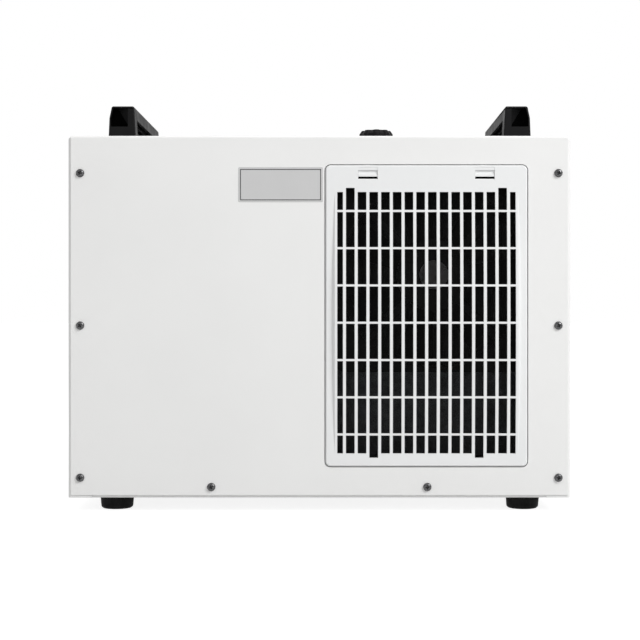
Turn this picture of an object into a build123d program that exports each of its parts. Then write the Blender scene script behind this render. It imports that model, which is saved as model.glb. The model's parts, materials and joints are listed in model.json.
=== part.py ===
from build123d import *
import math
import os

os.makedirs("parts", exist_ok=True)

# Recirculating chiller in a folded sheet casing, in millimetres.
# X runs along the casing, Y through its depth and Z up from the surface that it stands on.
# The filter panel is on the -Y side, the controller on the +X end, the water fittings on the -X end.

# Filter panel, and its place in the casing's side
panel_width = 232.8
panel_height = 347.3
panel_below = 36.45  # from the casing's lower edge to the panel
panel_above = 34.25  # from the panel to the casing's top
panel_end_margin = 50.1  # from the panel to the casing's +X end

# Casing, which is as high as the panel and its margins
casing_length = 580.0
casing_depth = 290.0
casing_height = panel_below + panel_height + panel_above
cover_sheet = 1.2
pan_sheet = 1.5
fold_radius = 3.0
edge_strip = 3.0  # how far the pans' and the tray's folds show past the cover's edges
nest_gap = 0.1  # between sheets that lie inside each other
pan_flange = 28.0
tray_flange = 22.0
foot_height = 17.0

half_length = casing_length / 2
half_depth = casing_depth / 2
top = foot_height + casing_height
cover_half_length = half_length - edge_strip
cover_bottom = foot_height + edge_strip
nest = half_depth - cover_sheet - nest_gap  # outer faces of the pans' and the tray's flanges
pan_top = top - cover_sheet - nest_gap
tray_half_length = half_length - pan_sheet - nest_gap
floor = foot_height + pan_sheet  # upper face of the tray
panel_inside = half_length - pan_sheet  # inner faces of the two end panels

# M5 pan-head screws
screw_head_radius = 4.75
screw_head_height = 3.4
shank_radius = 2.4
shank_length = 10.0
passing_hole = 2.75
thread_hole = 2.45
screw_sides = 12
head_sides = 16
hole_sides = 8  # of shanks and of holes that other pieces cover
tube_sides = 12  # of hoses, lines and barbs inside the casing
end_screw_inset = 14.2
end_screw_low = 23.4  # above the casing's lower edge
end_screw_middle = 198.9
end_screw_drop = 43.3  # of the uppermost, below the casing's top
tray_screw_x = 124.6
tray_screw_height = 12.7

# Filter panel's plate, its well in the casing and its grille
panel_radius = 6.0
panel_gap = 1.0  # to the cover's opening, all round
panel_proud = 2.0
panel_plate = 3.0
rim_bevel = 1.4
skirt_inset = 0.6
skirt_wall = 2.0
well_gap = 1.3
well_sheet = 1.2
well_flange = 9.0
well_depth = 12.8
ledge_width = 10.4
seat_gap = 0.3

grille_columns = 14
column_width = 10.0
end_column_width = 6.5
column_bar = 3.5
grille_rows = 6
row_height = 40.5
end_row_height = 20.8
row_bar = 2.4
grille_drop = 7.95  # how far the grille's centre lies below the panel's
crown = 4.5
crown_flare = 3.5  # how far the crown's foot runs out at mid-height
crown_margin = 2.85
crown_trim = 0.5  # of height that the crown's curve cuts away again
tall_hole_rise = 4.75
tall_hole_drop = 5.0
raised_columns = (1, 14)
lowered_columns = (3, 12)

panel_x = half_length - panel_end_margin - panel_width / 2
panel_z = foot_height + panel_below + panel_height / 2
panel_top = panel_z + panel_height / 2
panel_face = half_depth + panel_proud
panel_back = panel_face - panel_plate
opening_width = panel_width + 2 * panel_gap
opening_height = panel_height + 2 * panel_gap
well_width = panel_width + 2 * well_gap
well_height = panel_height + 2 * well_gap
well_face = half_depth - cover_sheet
ledge_back = well_face - well_depth
ledge_face = ledge_back + well_sheet
skirt_end = ledge_face + seat_gap
skirt_width = panel_width - 2 * skirt_inset
skirt_height = panel_height - 2 * skirt_inset
grille_z = panel_z - grille_drop
grille_width = (
    grille_columns * column_width + 2 * end_column_width + (grille_columns + 1) * column_bar
)
grille_height = grille_rows * row_height + 2 * end_row_height + (grille_rows + 1) * row_bar

# Latches of the filter panel
latch_edge = 49.0  # from the panel's side edge to a latch's middle
latch_width = 22.5
latch_window_top = 5.8  # below the panel's top edge
latch_window_height = 9.9
latch_travel = 2.2
latch_gap = 0.2
latch_plate = 1.6
latch_margin = 1.8  # how far the latch's plate runs past its window
latch_lip = 2.2
latch_pocket = 2.0
latch_inset = 0.6
tongue_width = 10.0
tongue_rise = 0.6  # above the panel's top edge
rail_wall = 1.5
latch_slope = 1.9  # height of the slope under each window
latch_slope_depth = 1.0
latch_band_top = 2.2  # of the shallow band above each window, below the panel's top edge
latch_band_depth = 0.4

# Filter gauze
gauze_gap = 0.4
gauze_frame = 6.0
gauze_depth = 3.3
gauze_sheet = 0.8
gauze_set_back = 4.8  # behind the panel's plate

# Louvres of the far side
louvre_count = 14
louvre_pitch = 21.0
louvre_width = 200.0
louvre_height = 10.0
louvre_proud = 6.0

# Handles
handle_length = 224.0
handle_height = 39.0
handle_x = 232.6
handle_base = 32.4
handle_shoulder = 25.0  # height of the shoulder, above which the outer side leans in
handle_shoulder_lean = 1.0
handle_outer_lean = 3.9
handle_inner_lean = 2.3
handle_round = 2.0
grip_bar = 14.3
grip_end = 19.0
grip_base = 3.0
handle_screw_inset = 10.0
handle_pocket_width = 17.0
handle_pocket_height = 22.0
handle_pocket_depth = 12.0
handle_skin = 2.0
grip_grooves = 3
grip_groove_width = 6.0
grip_groove_depth = 7.0
grip_rib = 2.2

# Feet
foot_x = 240.0
foot_y = 100.0
foot_radius = 20.0
foot_taper = 1.5
foot_recess_radius = 9.0
foot_recess_depth = 9.0
foot_edge = 2.0

# Filler neck and fill cap
cap_x = 69.5
cap_radius = 19.0
cap_height = 24.4
cap_lobes = 8
lobe_radius = 5.0
lobe_centre = 16.0
neck_radius = 17.0
neck_wall = 2.5
neck_flange_radius = 24.0
neck_flange = 3.0
neck_collar = 8.5
cap_gap = 0.5
seal_depth = 1.5

# Fan
fan_x = 133.0
fan_z = 275.0
fan_size = 230.0
fan_depth = 45.0
fan_bore = 107.0
fan_wall = 3.0
fan_plate = 4.0
fan_set_back = 2.0  # behind the ledge of the well
motor_radius = 42.0
motor_depth = 21.0
strut_width = 8.0
strut_depth = 4.0
strut_angle = 45.0
rotor_hub = 41.0
rotor_gap = 1.0
rotor_depth = 21.0
rotor_radius = 100.0  # to the middle of a blade's tip
rotor_shaft = 4.0
shaft_length = 13.0
shaft_gap = 0.05
blades = 7
blade_thickness = 2.2
blade_inner = 26.0
blade_outer = 44.0
blade_pitch = 25.0

# Condenser and shroud
duct_left = -6.0
duct_right = 252.0
duct_bottom = 60.0
duct_top = 405.0
duct_depth = 14.0
condenser_depth = 36.0
fin_pitch = 12.0
fin_slot = 4.0
fin_depth = 8.0

# Water tank
tank_left = -75.0
tank_right = 100.0
tank_near = -28.0
tank_far = 120.0
tank_top = 240.0
tank_wall = 3.0
tank_corner = 12.0
lid_sheet = 3.0

# Compressor
compressor_x = 192.0
compressor_y = 68.0
compressor_radius = 60.0
compressor_height = 160.0
mount_height = 13.5
base_plate = 140.0
base_sheet = 3.0
mount_inset = 12.0  # from the base plate's edges
mount_radius = 10.0
mount_neck_radius = 5.5
mount_lip = 2.0
terminal_width = 44.0
terminal_height = 52.0
terminal_depth = 24.0
terminal_bite = 4.0  # how far the cover reaches round the shell
stub_height = 20.0
port_offset = 24.0  # of the stubs, to either side of the shell's middle
discharge_near = 30.0  # of the discharge stub, ahead of the shell's middle
discharge_drop = 32.0  # of the discharge line, below the condenser's top
condensate_rise = 14.0  # of the condensate line, above the condenser's bottom

# Pump
pump_z = 66.0
pump_motor_radius = 36.0
pump_motor_length = 104.0
volute_radius = 42.0
volute_width = 26.0
pump_nose_radius = 12.0
pump_nose = 30.0
pump_foot_width = 50.0
pump_foot_length = 64.0
volute_clearance = 2.0  # between the volute and the hose over it

# Evaporator plate and filter drier
evaporator_left = -50.0
evaporator_right = 60.0
evaporator_bottom = 60.0
evaporator_height = 165.0
evaporator_sheet = 6.0
refrigerant_y = 60.0
suction_x = -30.0
liquid_x = 40.0
drier_x = 111.0
drier_radius = 9.5
drier_bottom = 118.0
drier_height = 88.0

# Hoses and refrigerant lines
hose_radius = 10.0
barb_radius = 8.0
drain_hose_radius = 8.0
drain_barb_radius = 6.0
hose_socket = 14.0
hose_bend = 45.0
line_radius = 4.0
line_bend = 18.0
hose_gap = 0.1
hose_relief = 1.0  # between a hose's end and the root of its barb

# Rear fittings
thread_radius = 10.0
thread_length = 13.0
drain_thread_radius = 8.0
fitting_flange = 4.0
outlet_y = 0.0
outlet_z = 300.0
inlet_y = 60.0
inlet_z = 222.0
drain_y = 100.0
drain_z = 38.0
barb_length = 21.0
nut_radius = 15.0
nut_height = 5.0
nut_gap = 0.1

# Controller
fascia_width = 160.0
fascia_height = 74.0
fascia_depth = 10.0
fascia_radius = 8.0
fascia_wall = 2.5
fascia_z = 365.0
window_width = 62.0
window_height = 38.0
window_y = -36.0
window_sheet = 1.2
button_width = 11.4
button_height = 7.4
button_gap = 0.3
button_pitch = 18.0
button_first_y = 14.0
button_proud = 1.5
button_collar = 1.5

fascia_chamfer = 2.0
window_ledge = 2.0
window_gap = 0.15
body_side_margin = 12.0  # from the fascia's ends to the window for the controller's body
controller_depth = 24.0
button_drop = 15.0  # below the fascia's middle
button_travel = 1.0

# Drain fitting, its cap and washer
drain_flange = 3.0
drain_thread_length = 9.0
drain_cap_radius = 11.5
drain_cap_wall = 2.4
drain_cap_sides = 12
drain_washer_depth = 1.5
drain_clearance = 2.0  # round the fitting's nut

# Level gauge and its hoses
gauge_y = 100.0
gauge_z = 185.0
gauge_width = 24.0
gauge_height = 130.0
gauge_plate = 3.0
gauge_slot = 9.0
gauge_tube_radius = 3.5
gauge_tube_length = 84.0
gauge_block = 10.0
gauge_block_depth = 12.0
gauge_barb_radius = 2.4
gauge_hose_radius = 4.0

# Alarm socket
alarm_y = -80.0
alarm_z = 262.0
alarm_radius = 9.0
alarm_flange_radius = 12.0
alarm_flange = 3.0
alarm_depth = 18.0
alarm_recess_radius = 7.0
alarm_recess_depth = 9.0
alarm_pin = 1.6
alarm_pin_set_back = 1.0
alarm_pin_ring = 3.5

# Electrical plate
plate_y = -120.0
plate_left = -225.0
plate_right = -50.0
plate_top = 390.0
plate_foot = 20.0
transformer_x = -170.0
transformer_z = 150.0
core_width = 66.0
core_height = 54.0
core_depth = 34.0
coil_width = 40.0
coil_height = 66.0
coil_depth = 46.0
block_x = -150.0
block_z = 260.0
block_length = 96.0
block_height = 22.0
block_depth = 16.0
block_ways = 8

# Power inlet
power_y = -80.0
power_z = 350.0
power_width = 28.0
power_height = 64.0
power_margin = 4.0
power_flange = 2.5
power_depth = 28.0
power_gap = 0.2
inlet_width = 24.0
inlet_height = 16.0
inlet_depth = 16.0
inlet_drop = 4.0
pin_width = 2.0
pin_height = 4.0
pin_spacing = 7.0
pin_offset = 2.0
rocker_rise = 21.0
rocker_width = 12.0
rocker_radius = 9.8
rocker_gap = 0.3
rocker_pivot = 3.0  # behind the module's face
rocker_front = 3.5  # the middle of its face, ahead of the pivot
rocker_back = 6.0
rocker_tilt = 10.0
fuse_drop = 25.0
fuse_width = 16.0
fuse_height = 9.0
fuse_depth = 24.0
fuse_lip = 1.5


def save(builder, label):
    builder.part.label = label
    export_step(builder.part, f"parts/{label}.step")


def screws(places):
    # Pan-head screws, each with its head's underside on its plane and its shank behind it.
    with BuildPart() as group:
        with BuildSketch(*places):
            RegularPolygon(screw_head_radius, screw_sides)
        extrude(amount=screw_head_height)
        with BuildSketch(*places):
            RegularPolygon(shank_radius, hole_sides)
        extrude(amount=-shank_length)
    return group


# Places of the cover's screws, as X and Z on the two long sides
pan_screws = [
    (side * (half_length - end_screw_inset), foot_height + height)
    for side in (-1, 1)
    for height in (end_screw_low, end_screw_middle, casing_height - end_screw_drop)
]
fittings_at = [(outlet_y, outlet_z), (inlet_y, inlet_z), (drain_y, drain_z)]
gauge_ports = [
    (gauge_y, gauge_z + side * (gauge_tube_length + gauge_block) / 2) for side in (-1, 1)
]
tray_screws = [(side * tray_screw_x, foot_height + tray_screw_height) for side in (-1, 1)]
handle_screws_at = [
    (end * handle_x, side * (handle_length / 2 - handle_screw_inset))
    for end in (-1, 1)
    for side in (-1, 1)
]

# Cover: an inverted U with the filter opening near, the louvres far and the filler hole on top
with BuildPart() as cover:
    skin = half_depth - cover_sheet / 2
    skin_top = top - cover_sheet / 2
    with BuildSketch(Plane.YZ.offset(-cover_half_length)):
        with BuildLine():
            FilletPolyline(
                (-skin, cover_bottom),
                (-skin, skin_top),
                (skin, skin_top),
                (skin, cover_bottom),
                radius=fold_radius - cover_sheet / 2,
            )
        trace(line_width=cover_sheet)
    extrude(amount=2 * cover_half_length)
    with BuildSketch(Plane.XZ.offset(half_depth)):
        with Locations((panel_x, panel_z)):
            RectangleRounded(opening_width, opening_height, panel_radius + panel_gap)
    extrude(amount=-cover_sheet, mode=Mode.SUBTRACT)
    with BuildSketch(Plane.XZ):
        with Locations(*pan_screws, *tray_screws):
            RegularPolygon(passing_hole, hole_sides)
    extrude(amount=half_depth, both=True, mode=Mode.SUBTRACT)
    with BuildSketch(Plane.XY.offset(top)):
        with Locations((cap_x, 0)):
            RegularPolygon(neck_radius + cap_gap, head_sides)
        with Locations(*handle_screws_at):
            RegularPolygon(passing_hole, hole_sides)
    extrude(amount=-cover_sheet, mode=Mode.SUBTRACT)
    # Each louvre is a wedge pressed outwards, hollow behind and open along its lower edge
    inner_face = half_depth - cover_sheet
    slope = louvre_height / louvre_proud
    wall_shift = cover_sheet * math.hypot(1, slope) / slope
    louvre_low = [
        panel_z + louvre_pitch * (row - (louvre_count - 1) / 2) for row in range(louvre_count)
    ]
    with BuildSketch(Plane.YZ.offset(panel_x)):
        for z in louvre_low:
            Polygon(
                (half_depth, z),
                (half_depth + louvre_proud, z),
                (half_depth, z + louvre_height),
                align=None,
            )
    extrude(amount=louvre_width / 2, both=True)
    with BuildSketch(Plane.YZ.offset(panel_x)):
        for z in louvre_low:
            mouth = half_depth + louvre_proud - wall_shift
            Polygon(
                (inner_face, z),
                (mouth, z),
                (inner_face, z + (mouth - inner_face) * slope),
                align=None,
            )
    extrude(amount=louvre_width / 2 - cover_sheet, both=True, mode=Mode.SUBTRACT)
save(cover, "cover")


def folded_pan():
    # End panel: a pan whose flanges point inwards at its sides and top, open at the bottom.
    with BuildPart() as pan:
        with BuildSketch(Plane.XY.offset(foot_height)):
            with Locations((half_length - pan_flange / 2, 0)):
                Rectangle(pan_flange, 2 * nest)
        extrude(amount=pan_top - foot_height)
        end_edges = pan.faces().sort_by(Axis.X)[-1].edges().sort_by(Axis.Z)[1:]
        shoulder_edges = pan.edges().filter_by(Axis.X).group_by(Axis.Z)[-1]
        fillet(end_edges + shoulder_edges, radius=fold_radius)
        open_faces = [pan.faces().sort_by(Axis.X)[0], pan.faces().sort_by(Axis.Z)[0]]
        offset(amount=-pan_sheet, openings=open_faces)
        with BuildSketch(Plane.XZ):
            with Locations(*pan_screws):
                RegularPolygon(thread_hole, hole_sides)
        extrude(amount=nest, both=True, mode=Mode.SUBTRACT)
    return pan.part


pan_shell = folded_pan()
body_window_width = fascia_width - 2 * body_side_margin
body_window_height = fascia_height - 2 * fascia_radius

with BuildPart() as front_panel:
    add(pan_shell)
    with BuildSketch(Plane.YZ.offset(half_length)):
        with Locations((0, fascia_z)):
            Rectangle(body_window_width, body_window_height)
    extrude(amount=-pan_sheet, mode=Mode.SUBTRACT)
save(front_panel, "front_panel")

with BuildPart() as rear_panel:
    add(mirror(pan_shell, about=Plane.YZ, mode=Mode.PRIVATE))
    with BuildSketch(Plane.YZ.offset(-half_length)):
        with Locations(*fittings_at):
            RegularPolygon(thread_radius + hose_gap, hole_sides)
        with Locations((alarm_y, alarm_z)):
            RegularPolygon(alarm_radius + hose_gap, hole_sides)
        with Locations((gauge_y, gauge_z)):
            Rectangle(gauge_slot, gauge_tube_length + 2 * gauge_block + 2 * hose_gap)
        with Locations((power_y, power_z)):
            Rectangle(power_width + 2 * power_gap, power_height + 2 * power_gap)
    extrude(amount=pan_sheet, mode=Mode.SUBTRACT)
save(rear_panel, "rear_panel")

# Base tray: folded up all round, notched at its corners for the pans' flanges
with BuildPart() as base_tray:
    with BuildSketch(Plane.XY.offset(foot_height)):
        Rectangle(2 * tray_half_length, 2 * nest)
    extrude(amount=tray_flange)
    fillet(base_tray.faces().sort_by(Axis.Z)[0].edges(), radius=fold_radius)
    offset(amount=-pan_sheet, openings=base_tray.faces().sort_by(Axis.Z)[-1])
    notch_length = tray_half_length - (half_length - pan_flange) + seat_gap
    notch_width = fold_radius + nest_gap
    with BuildSketch(Plane.XY.offset(foot_height)):
        with GridLocations(2 * tray_half_length - notch_length, 2 * nest - notch_width, 2, 2):
            Rectangle(notch_length, notch_width)
    extrude(amount=tray_flange, mode=Mode.SUBTRACT)
    with BuildSketch(Plane.XZ):
        with Locations(*tray_screws):
            RegularPolygon(thread_hole, hole_sides)
    extrude(amount=nest, both=True, mode=Mode.SUBTRACT)
    with BuildSketch(Plane.XY.offset(foot_height)):
        with GridLocations(2 * foot_x, 2 * foot_y, 2, 2):
            RegularPolygon(thread_hole, hole_sides)
    extrude(amount=pan_sheet, mode=Mode.SUBTRACT)
    # Gap in the rear flange for the drain fitting
    with BuildSketch(Plane.YZ.offset(-tray_half_length)):
        with Locations((drain_y, floor + drain_clearance / 2)):
            Rectangle(
                2 * (nut_radius + drain_clearance), tray_flange, align=(Align.CENTER, Align.MIN)
            )
    extrude(amount=pan_sheet, mode=Mode.SUBTRACT)
save(base_tray, "base_tray")

cover_screws = screws(
    [
        Plane(origin=(x, side * half_depth, z), z_dir=(0, side, 0))
        for side in (-1, 1)
        for x, z in pan_screws + tray_screws
    ]
)
save(cover_screws, "cover_screws")

# Well behind the cover's opening: a flange on the cover, a wall and a ledge that the panel stops on
with BuildPart() as filter_seat:
    with BuildSketch(Plane.XZ.offset(well_face)):
        with Locations((panel_x, panel_z)):
            Rectangle(
                well_width + 2 * (well_sheet + well_flange),
                well_height + 2 * (well_sheet + well_flange),
            )
            RectangleRounded(well_width, well_height, panel_radius, mode=Mode.SUBTRACT)
    extrude(amount=-well_sheet)
    with BuildSketch(Plane.XZ.offset(well_face)):
        with Locations((panel_x, panel_z)):
            RectangleRounded(
                well_width + 2 * well_sheet,
                well_height + 2 * well_sheet,
                panel_radius + well_sheet,
            )
            RectangleRounded(well_width, well_height, panel_radius, mode=Mode.SUBTRACT)
    extrude(amount=-well_depth)
    with BuildSketch(Plane.XZ.offset(ledge_face)):
        with Locations((panel_x, panel_z)):
            RectangleRounded(well_width, well_height, panel_radius)
            Rectangle(
                well_width - 2 * ledge_width, well_height - 2 * ledge_width, mode=Mode.SUBTRACT
            )
    extrude(amount=-well_sheet)
save(filter_seat, "filter_seat")

# Filter panel: a moulded plate with a skirt behind it and a crowned grille
latch_xs = [panel_x + side * (panel_width / 2 - latch_edge) for side in (-1, 1)]
window_top = panel_top - latch_window_top
window_z = window_top - latch_window_height / 2
window_bottom = window_top - latch_window_height
rail_inner = latch_width / 2 + latch_margin + latch_gap
rail_depth = latch_gap + latch_plate + latch_gap

column_pitch = column_width + column_bar
columns = [
    (panel_x + column_pitch * (index - (grille_columns - 1) / 2), column_width)
    for index in range(grille_columns)
]
end_column = (grille_width - end_column_width) / 2
columns = (
    [(panel_x - end_column, end_column_width)]
    + columns
    + [(panel_x + end_column, end_column_width)]
)
row_pitch = row_height + row_bar
rows = [
    (grille_z + row_pitch * (index - (grille_rows - 1) / 2), row_height)
    for index in range(grille_rows)
]
end_row = (grille_height - end_row_height) / 2
rows = [(grille_z - end_row, end_row_height)] + rows + [(grille_z + end_row, end_row_height)]

# The crown's curve, as one flat strip for each row of holes
crown_half = grille_height / 2
arc_radius = (crown_half**2 + crown**2) / (2 * crown)
strip_ends = [z + (height + row_bar) / 2 - grille_z for z, height in rows[:-1]]
crown_line = [
    (arc_radius - crown - panel_face - math.sqrt(arc_radius**2 - z**2), grille_z + z)
    for z in [-crown_half, *strip_ends, crown_half]
]

with BuildPart() as filter_panel:
    with BuildSketch(Plane.XZ.offset(panel_face)):
        with Locations((panel_x, panel_z)):
            RectangleRounded(panel_width, panel_height, panel_radius)
    extrude(amount=-panel_plate)
    chamfer(filter_panel.faces().sort_by(Axis.Y)[0].edges(), length=rim_bevel)
    # The crown's foot runs out in an arc at each side, and its sides lean in to straight top edges
    foot = grille_width / 2 + crown_margin
    with BuildSketch(Plane.XZ.offset(panel_face)):
        with BuildLine(Location((panel_x, grille_z))):
            left = SagittaArc((-foot, -crown_half), (-foot, crown_half), crown_flare)
            right = SagittaArc((foot, crown_half), (foot, -crown_half), crown_flare)
            Line(left @ 1, right @ 0)
            Line(right @ 1, left @ 0)
        make_face()
    extrude(amount=crown + crown_trim, taper=math.degrees(math.atan(crown_flare / crown)))
    front_y = -panel_face - 2 * crown
    with BuildSketch(Plane.YZ.offset(panel_x)):
        Polygon(
            *crown_line, (front_y, grille_z + crown_half), (front_y, grille_z - crown_half), align=None
        )
    extrude(amount=panel_width / 2, both=True, mode=Mode.SUBTRACT)
    with BuildSketch(Plane.YZ.offset(panel_x)):
        Polygon(*[(y + panel_plate, z) for y, z in crown_line], align=None)
    extrude(amount=grille_width / 2 + crown_margin / 3, both=True, mode=Mode.SUBTRACT)
    with BuildSketch(Plane.XZ.offset(panel_back)):
        for column, (x, width) in enumerate(columns):
            for row, (z, height) in enumerate(rows):
                rise = tall_hole_rise if row == len(rows) - 1 and column in raised_columns else 0
                drop = tall_hole_drop if row == 0 and column in lowered_columns else 0
                with Locations((x, z + (rise - drop) / 2)):
                    Rectangle(width, height + rise + drop)
    extrude(amount=panel_plate + 2 * crown, mode=Mode.SUBTRACT)
    with BuildSketch(Plane.XZ.offset(panel_back)):
        with Locations((panel_x, panel_z)):
            RectangleRounded(skirt_width, skirt_height, panel_radius - skirt_inset)
            RectangleRounded(
                skirt_width - 2 * skirt_wall,
                skirt_height - 2 * skirt_wall,
                panel_radius - skirt_inset - skirt_wall,
                mode=Mode.SUBTRACT,
            )
    extrude(amount=skirt_end - panel_back)
    # Latch windows, the tongues' ways through the skirt, and the rails that hold the latches
    with BuildSketch(Plane.XZ.offset(panel_face)):
        with Locations(*[(x, window_z) for x in latch_xs]):
            Rectangle(latch_width, latch_window_height)
    extrude(amount=-panel_plate, mode=Mode.SUBTRACT)
    with BuildSketch(Plane.XZ.offset(panel_face)):
        with Locations(*[(x, panel_top - latch_band_top) for x in latch_xs]):
            Rectangle(
                latch_width, latch_window_top - latch_band_top, align=(Align.CENTER, Align.MAX)
            )
    extrude(amount=-latch_band_depth, mode=Mode.SUBTRACT)
    with BuildSketch(*[Plane.YZ.offset(x) for x in latch_xs]):
        Polygon(
            (-panel_face, window_bottom - latch_slope),
            (-panel_face, window_bottom),
            (latch_slope_depth - panel_face, window_bottom),
            align=None,
        )
    extrude(amount=latch_width / 2, both=True, mode=Mode.SUBTRACT)
    with BuildSketch(Plane.XZ.offset(panel_back)):
        with Locations(*[(x, panel_top) for x in latch_xs]):
            Rectangle(tongue_width + 2 * latch_gap, 2 * (skirt_inset + skirt_wall))
    extrude(amount=-rail_depth, mode=Mode.SUBTRACT)
    with BuildSketch(Plane.XY.offset(panel_top - skirt_inset - skirt_wall)):
        for x in latch_xs:
            for side in (-1, 1):
                with Locations((x + side * rail_inner, -panel_back)):
                    Rectangle(
                        rail_wall,
                        rail_depth + rail_wall,
                        align=(Align.MIN if side > 0 else Align.MAX, Align.MIN),
                    )
                with Locations((x + side * (rail_inner + rail_wall), rail_depth - panel_back)):
                    Rectangle(
                        2 * rail_wall,
                        rail_wall,
                        align=(Align.MAX if side > 0 else Align.MIN, Align.MIN),
                    )
    extrude(amount=-latch_window_height - 3 * latch_gap)
save(filter_panel, "filter_panel")

# Latches: a finger pocket over a lip in the window, a plate behind it and a tongue up through the skirt
for side, x in zip(("left", "right"), latch_xs):
    boss_top = window_top - latch_gap
    boss_height = latch_window_height - latch_travel - 2 * latch_gap
    plate_face = panel_back - latch_gap
    with BuildPart() as latch:
        with BuildSketch(Plane.XZ.offset(panel_face - latch_inset)):
            with Locations((x, boss_top)):
                Rectangle(
                    latch_width - 2 * latch_gap, boss_height, align=(Align.CENTER, Align.MAX)
                )
        extrude(amount=plate_face + latch_inset - panel_face)
        with BuildSketch(Plane.XZ.offset(panel_face - latch_inset)):
            with Locations((x, boss_top)):
                Rectangle(
                    latch_width - 2 * latch_gap,
                    boss_height - latch_lip,
                    align=(Align.CENTER, Align.MAX),
                )
        extrude(amount=-latch_pocket, mode=Mode.SUBTRACT)
        with BuildSketch(Plane.XZ.offset(plate_face)):
            with Locations((x, window_top + latch_margin)):
                Rectangle(
                    latch_width + 2 * latch_margin,
                    latch_window_height + latch_margin,
                    align=(Align.CENTER, Align.MAX),
                )
            with Locations((x, panel_top + tongue_rise)):
                Rectangle(
                    tongue_width,
                    tongue_rise + latch_window_top,
                    align=(Align.CENTER, Align.MAX),
                )
        extrude(amount=-latch_plate)
    save(latch, f"latch_{side}")

# Filter gauze in its own frame, which drops into the panel's skirt
gauze_width = skirt_width - 2 * skirt_wall - 2 * gauze_gap
gauze_height = skirt_height - 2 * skirt_wall - 2 * gauze_gap
gauze_face = panel_back - gauze_set_back
gauze_radius = panel_radius - skirt_inset - skirt_wall
with BuildPart() as filter_gauze:
    with BuildSketch(Plane.XZ.offset(gauze_face)):
        with Locations((panel_x, panel_z)):
            RectangleRounded(gauze_width, gauze_height, gauze_radius)
            Rectangle(
                gauze_width - 2 * gauze_frame, gauze_height - 2 * gauze_frame, mode=Mode.SUBTRACT
            )
    extrude(amount=-gauze_depth)
    with BuildSketch(Plane.XZ.offset(gauze_face - (gauze_depth - gauze_sheet) / 2)):
        with Locations((panel_x, panel_z)):
            Rectangle(gauze_width - 2 * gauze_frame, gauze_height - 2 * gauze_frame)
    extrude(amount=-gauze_sheet)
save(filter_gauze, "filter_gauze")


def handle(end):
    # Bridge handle along Y, its outer side away from the casing's middle.
    inner = -end * handle_base / 2
    outer = end * handle_base / 2
    with BuildPart() as bridge:
        with BuildSketch(Plane.XZ.offset(handle_length / 2)):
            with Locations((end * handle_x, top)):
                Polygon(
                    (inner, 0),
                    (outer, 0),
                    (outer - end * handle_shoulder_lean, handle_shoulder),
                    (outer - end * handle_outer_lean, handle_height),
                    (inner + end * handle_inner_lean, handle_height),
                    align=None,
                )
        extrude(amount=-handle_length)
        top_edges = bridge.faces().sort_by(Axis.Z)[-1].edges()
        fillet(top_edges, radius=handle_round)
        grip_height = handle_height - grip_bar - grip_base
        with BuildSketch(Plane.YZ.offset(end * handle_x)):
            with Locations((0, top + grip_base + grip_height / 2)):
                RectangleRounded(handle_length - 2 * grip_end, grip_height, grip_base)
        extrude(amount=handle_base, both=True, mode=Mode.SUBTRACT)
        # Grooves along the grip's underside
        with BuildSketch(Plane.XY.offset(top + grip_base + grip_height)):
            with Locations((end * handle_x, 0)):
                with GridLocations(grip_groove_width + grip_rib, 0, grip_grooves, 1):
                    Rectangle(grip_groove_width, handle_length - 2 * (grip_end + grip_base))
        extrude(amount=grip_groove_depth, mode=Mode.SUBTRACT)
        # Deep pocket in each end face, above the block that takes the screw
        for side in (-1, 1):
            with BuildSketch(Plane.XZ.offset(side * handle_length / 2)):
                with Locations((end * handle_x, top)):
                    Polygon(
                        (outer - end * (handle_outer_lean + handle_skin), handle_height - handle_skin),
                        (outer - end * (handle_shoulder_lean + handle_skin), handle_shoulder),
                        (
                            outer - end * (handle_shoulder_lean + handle_skin),
                            handle_height - handle_skin - handle_pocket_height,
                        ),
                        (
                            outer - end * (handle_outer_lean + handle_skin + handle_pocket_width),
                            handle_height - handle_skin - handle_pocket_height,
                        ),
                        (
                            outer - end * (handle_outer_lean + handle_skin + handle_pocket_width),
                            handle_height - handle_skin,
                        ),
                        align=None,
                    )
            extrude(amount=-side * handle_pocket_depth, mode=Mode.SUBTRACT)
        with BuildSketch(Plane.XY.offset(top)):
            with Locations(*[(x, y) for x, y in handle_screws_at if x * end > 0]):
                RegularPolygon(thread_hole, hole_sides)
        extrude(amount=shank_length, mode=Mode.SUBTRACT)
    return bridge


save(handle(1), "handle_front")
save(handle(-1), "handle_rear")

# Feet: tapered rubber feet, each with a recess for its screw
feet_at = [(x, y) for x in (-foot_x, foot_x) for y in (-foot_y, foot_y)]
with BuildPart() as feet:
    with BuildSketch(Plane.XY.offset(foot_height)):
        with Locations(*feet_at):
            Circle(foot_radius)
    extrude(amount=-foot_height, taper=math.degrees(math.atan(foot_taper / foot_height)))
    chamfer(feet.faces().group_by(Axis.Z)[0].edges(), length=foot_edge)
    with BuildSketch(Plane.XY):
        with Locations(*feet_at):
            RegularPolygon(foot_recess_radius, head_sides)
    extrude(amount=foot_recess_depth, mode=Mode.SUBTRACT)
    with BuildSketch(Plane.XY):
        with Locations(*feet_at):
            RegularPolygon(thread_hole, hole_sides)
    extrude(amount=foot_height, mode=Mode.SUBTRACT)
save(feet, "feet")

# Screws up into the handles through the cover, and up through the feet into the tray
underside_screws = screws(
    [Plane(origin=(x, y, top - cover_sheet), z_dir=(0, 0, -1)) for x, y in handle_screws_at]
    + [Plane(origin=(x, y, foot_recess_depth), z_dir=(0, 0, -1)) for x, y in feet_at]
)
save(underside_screws, "underside_screws")

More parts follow.
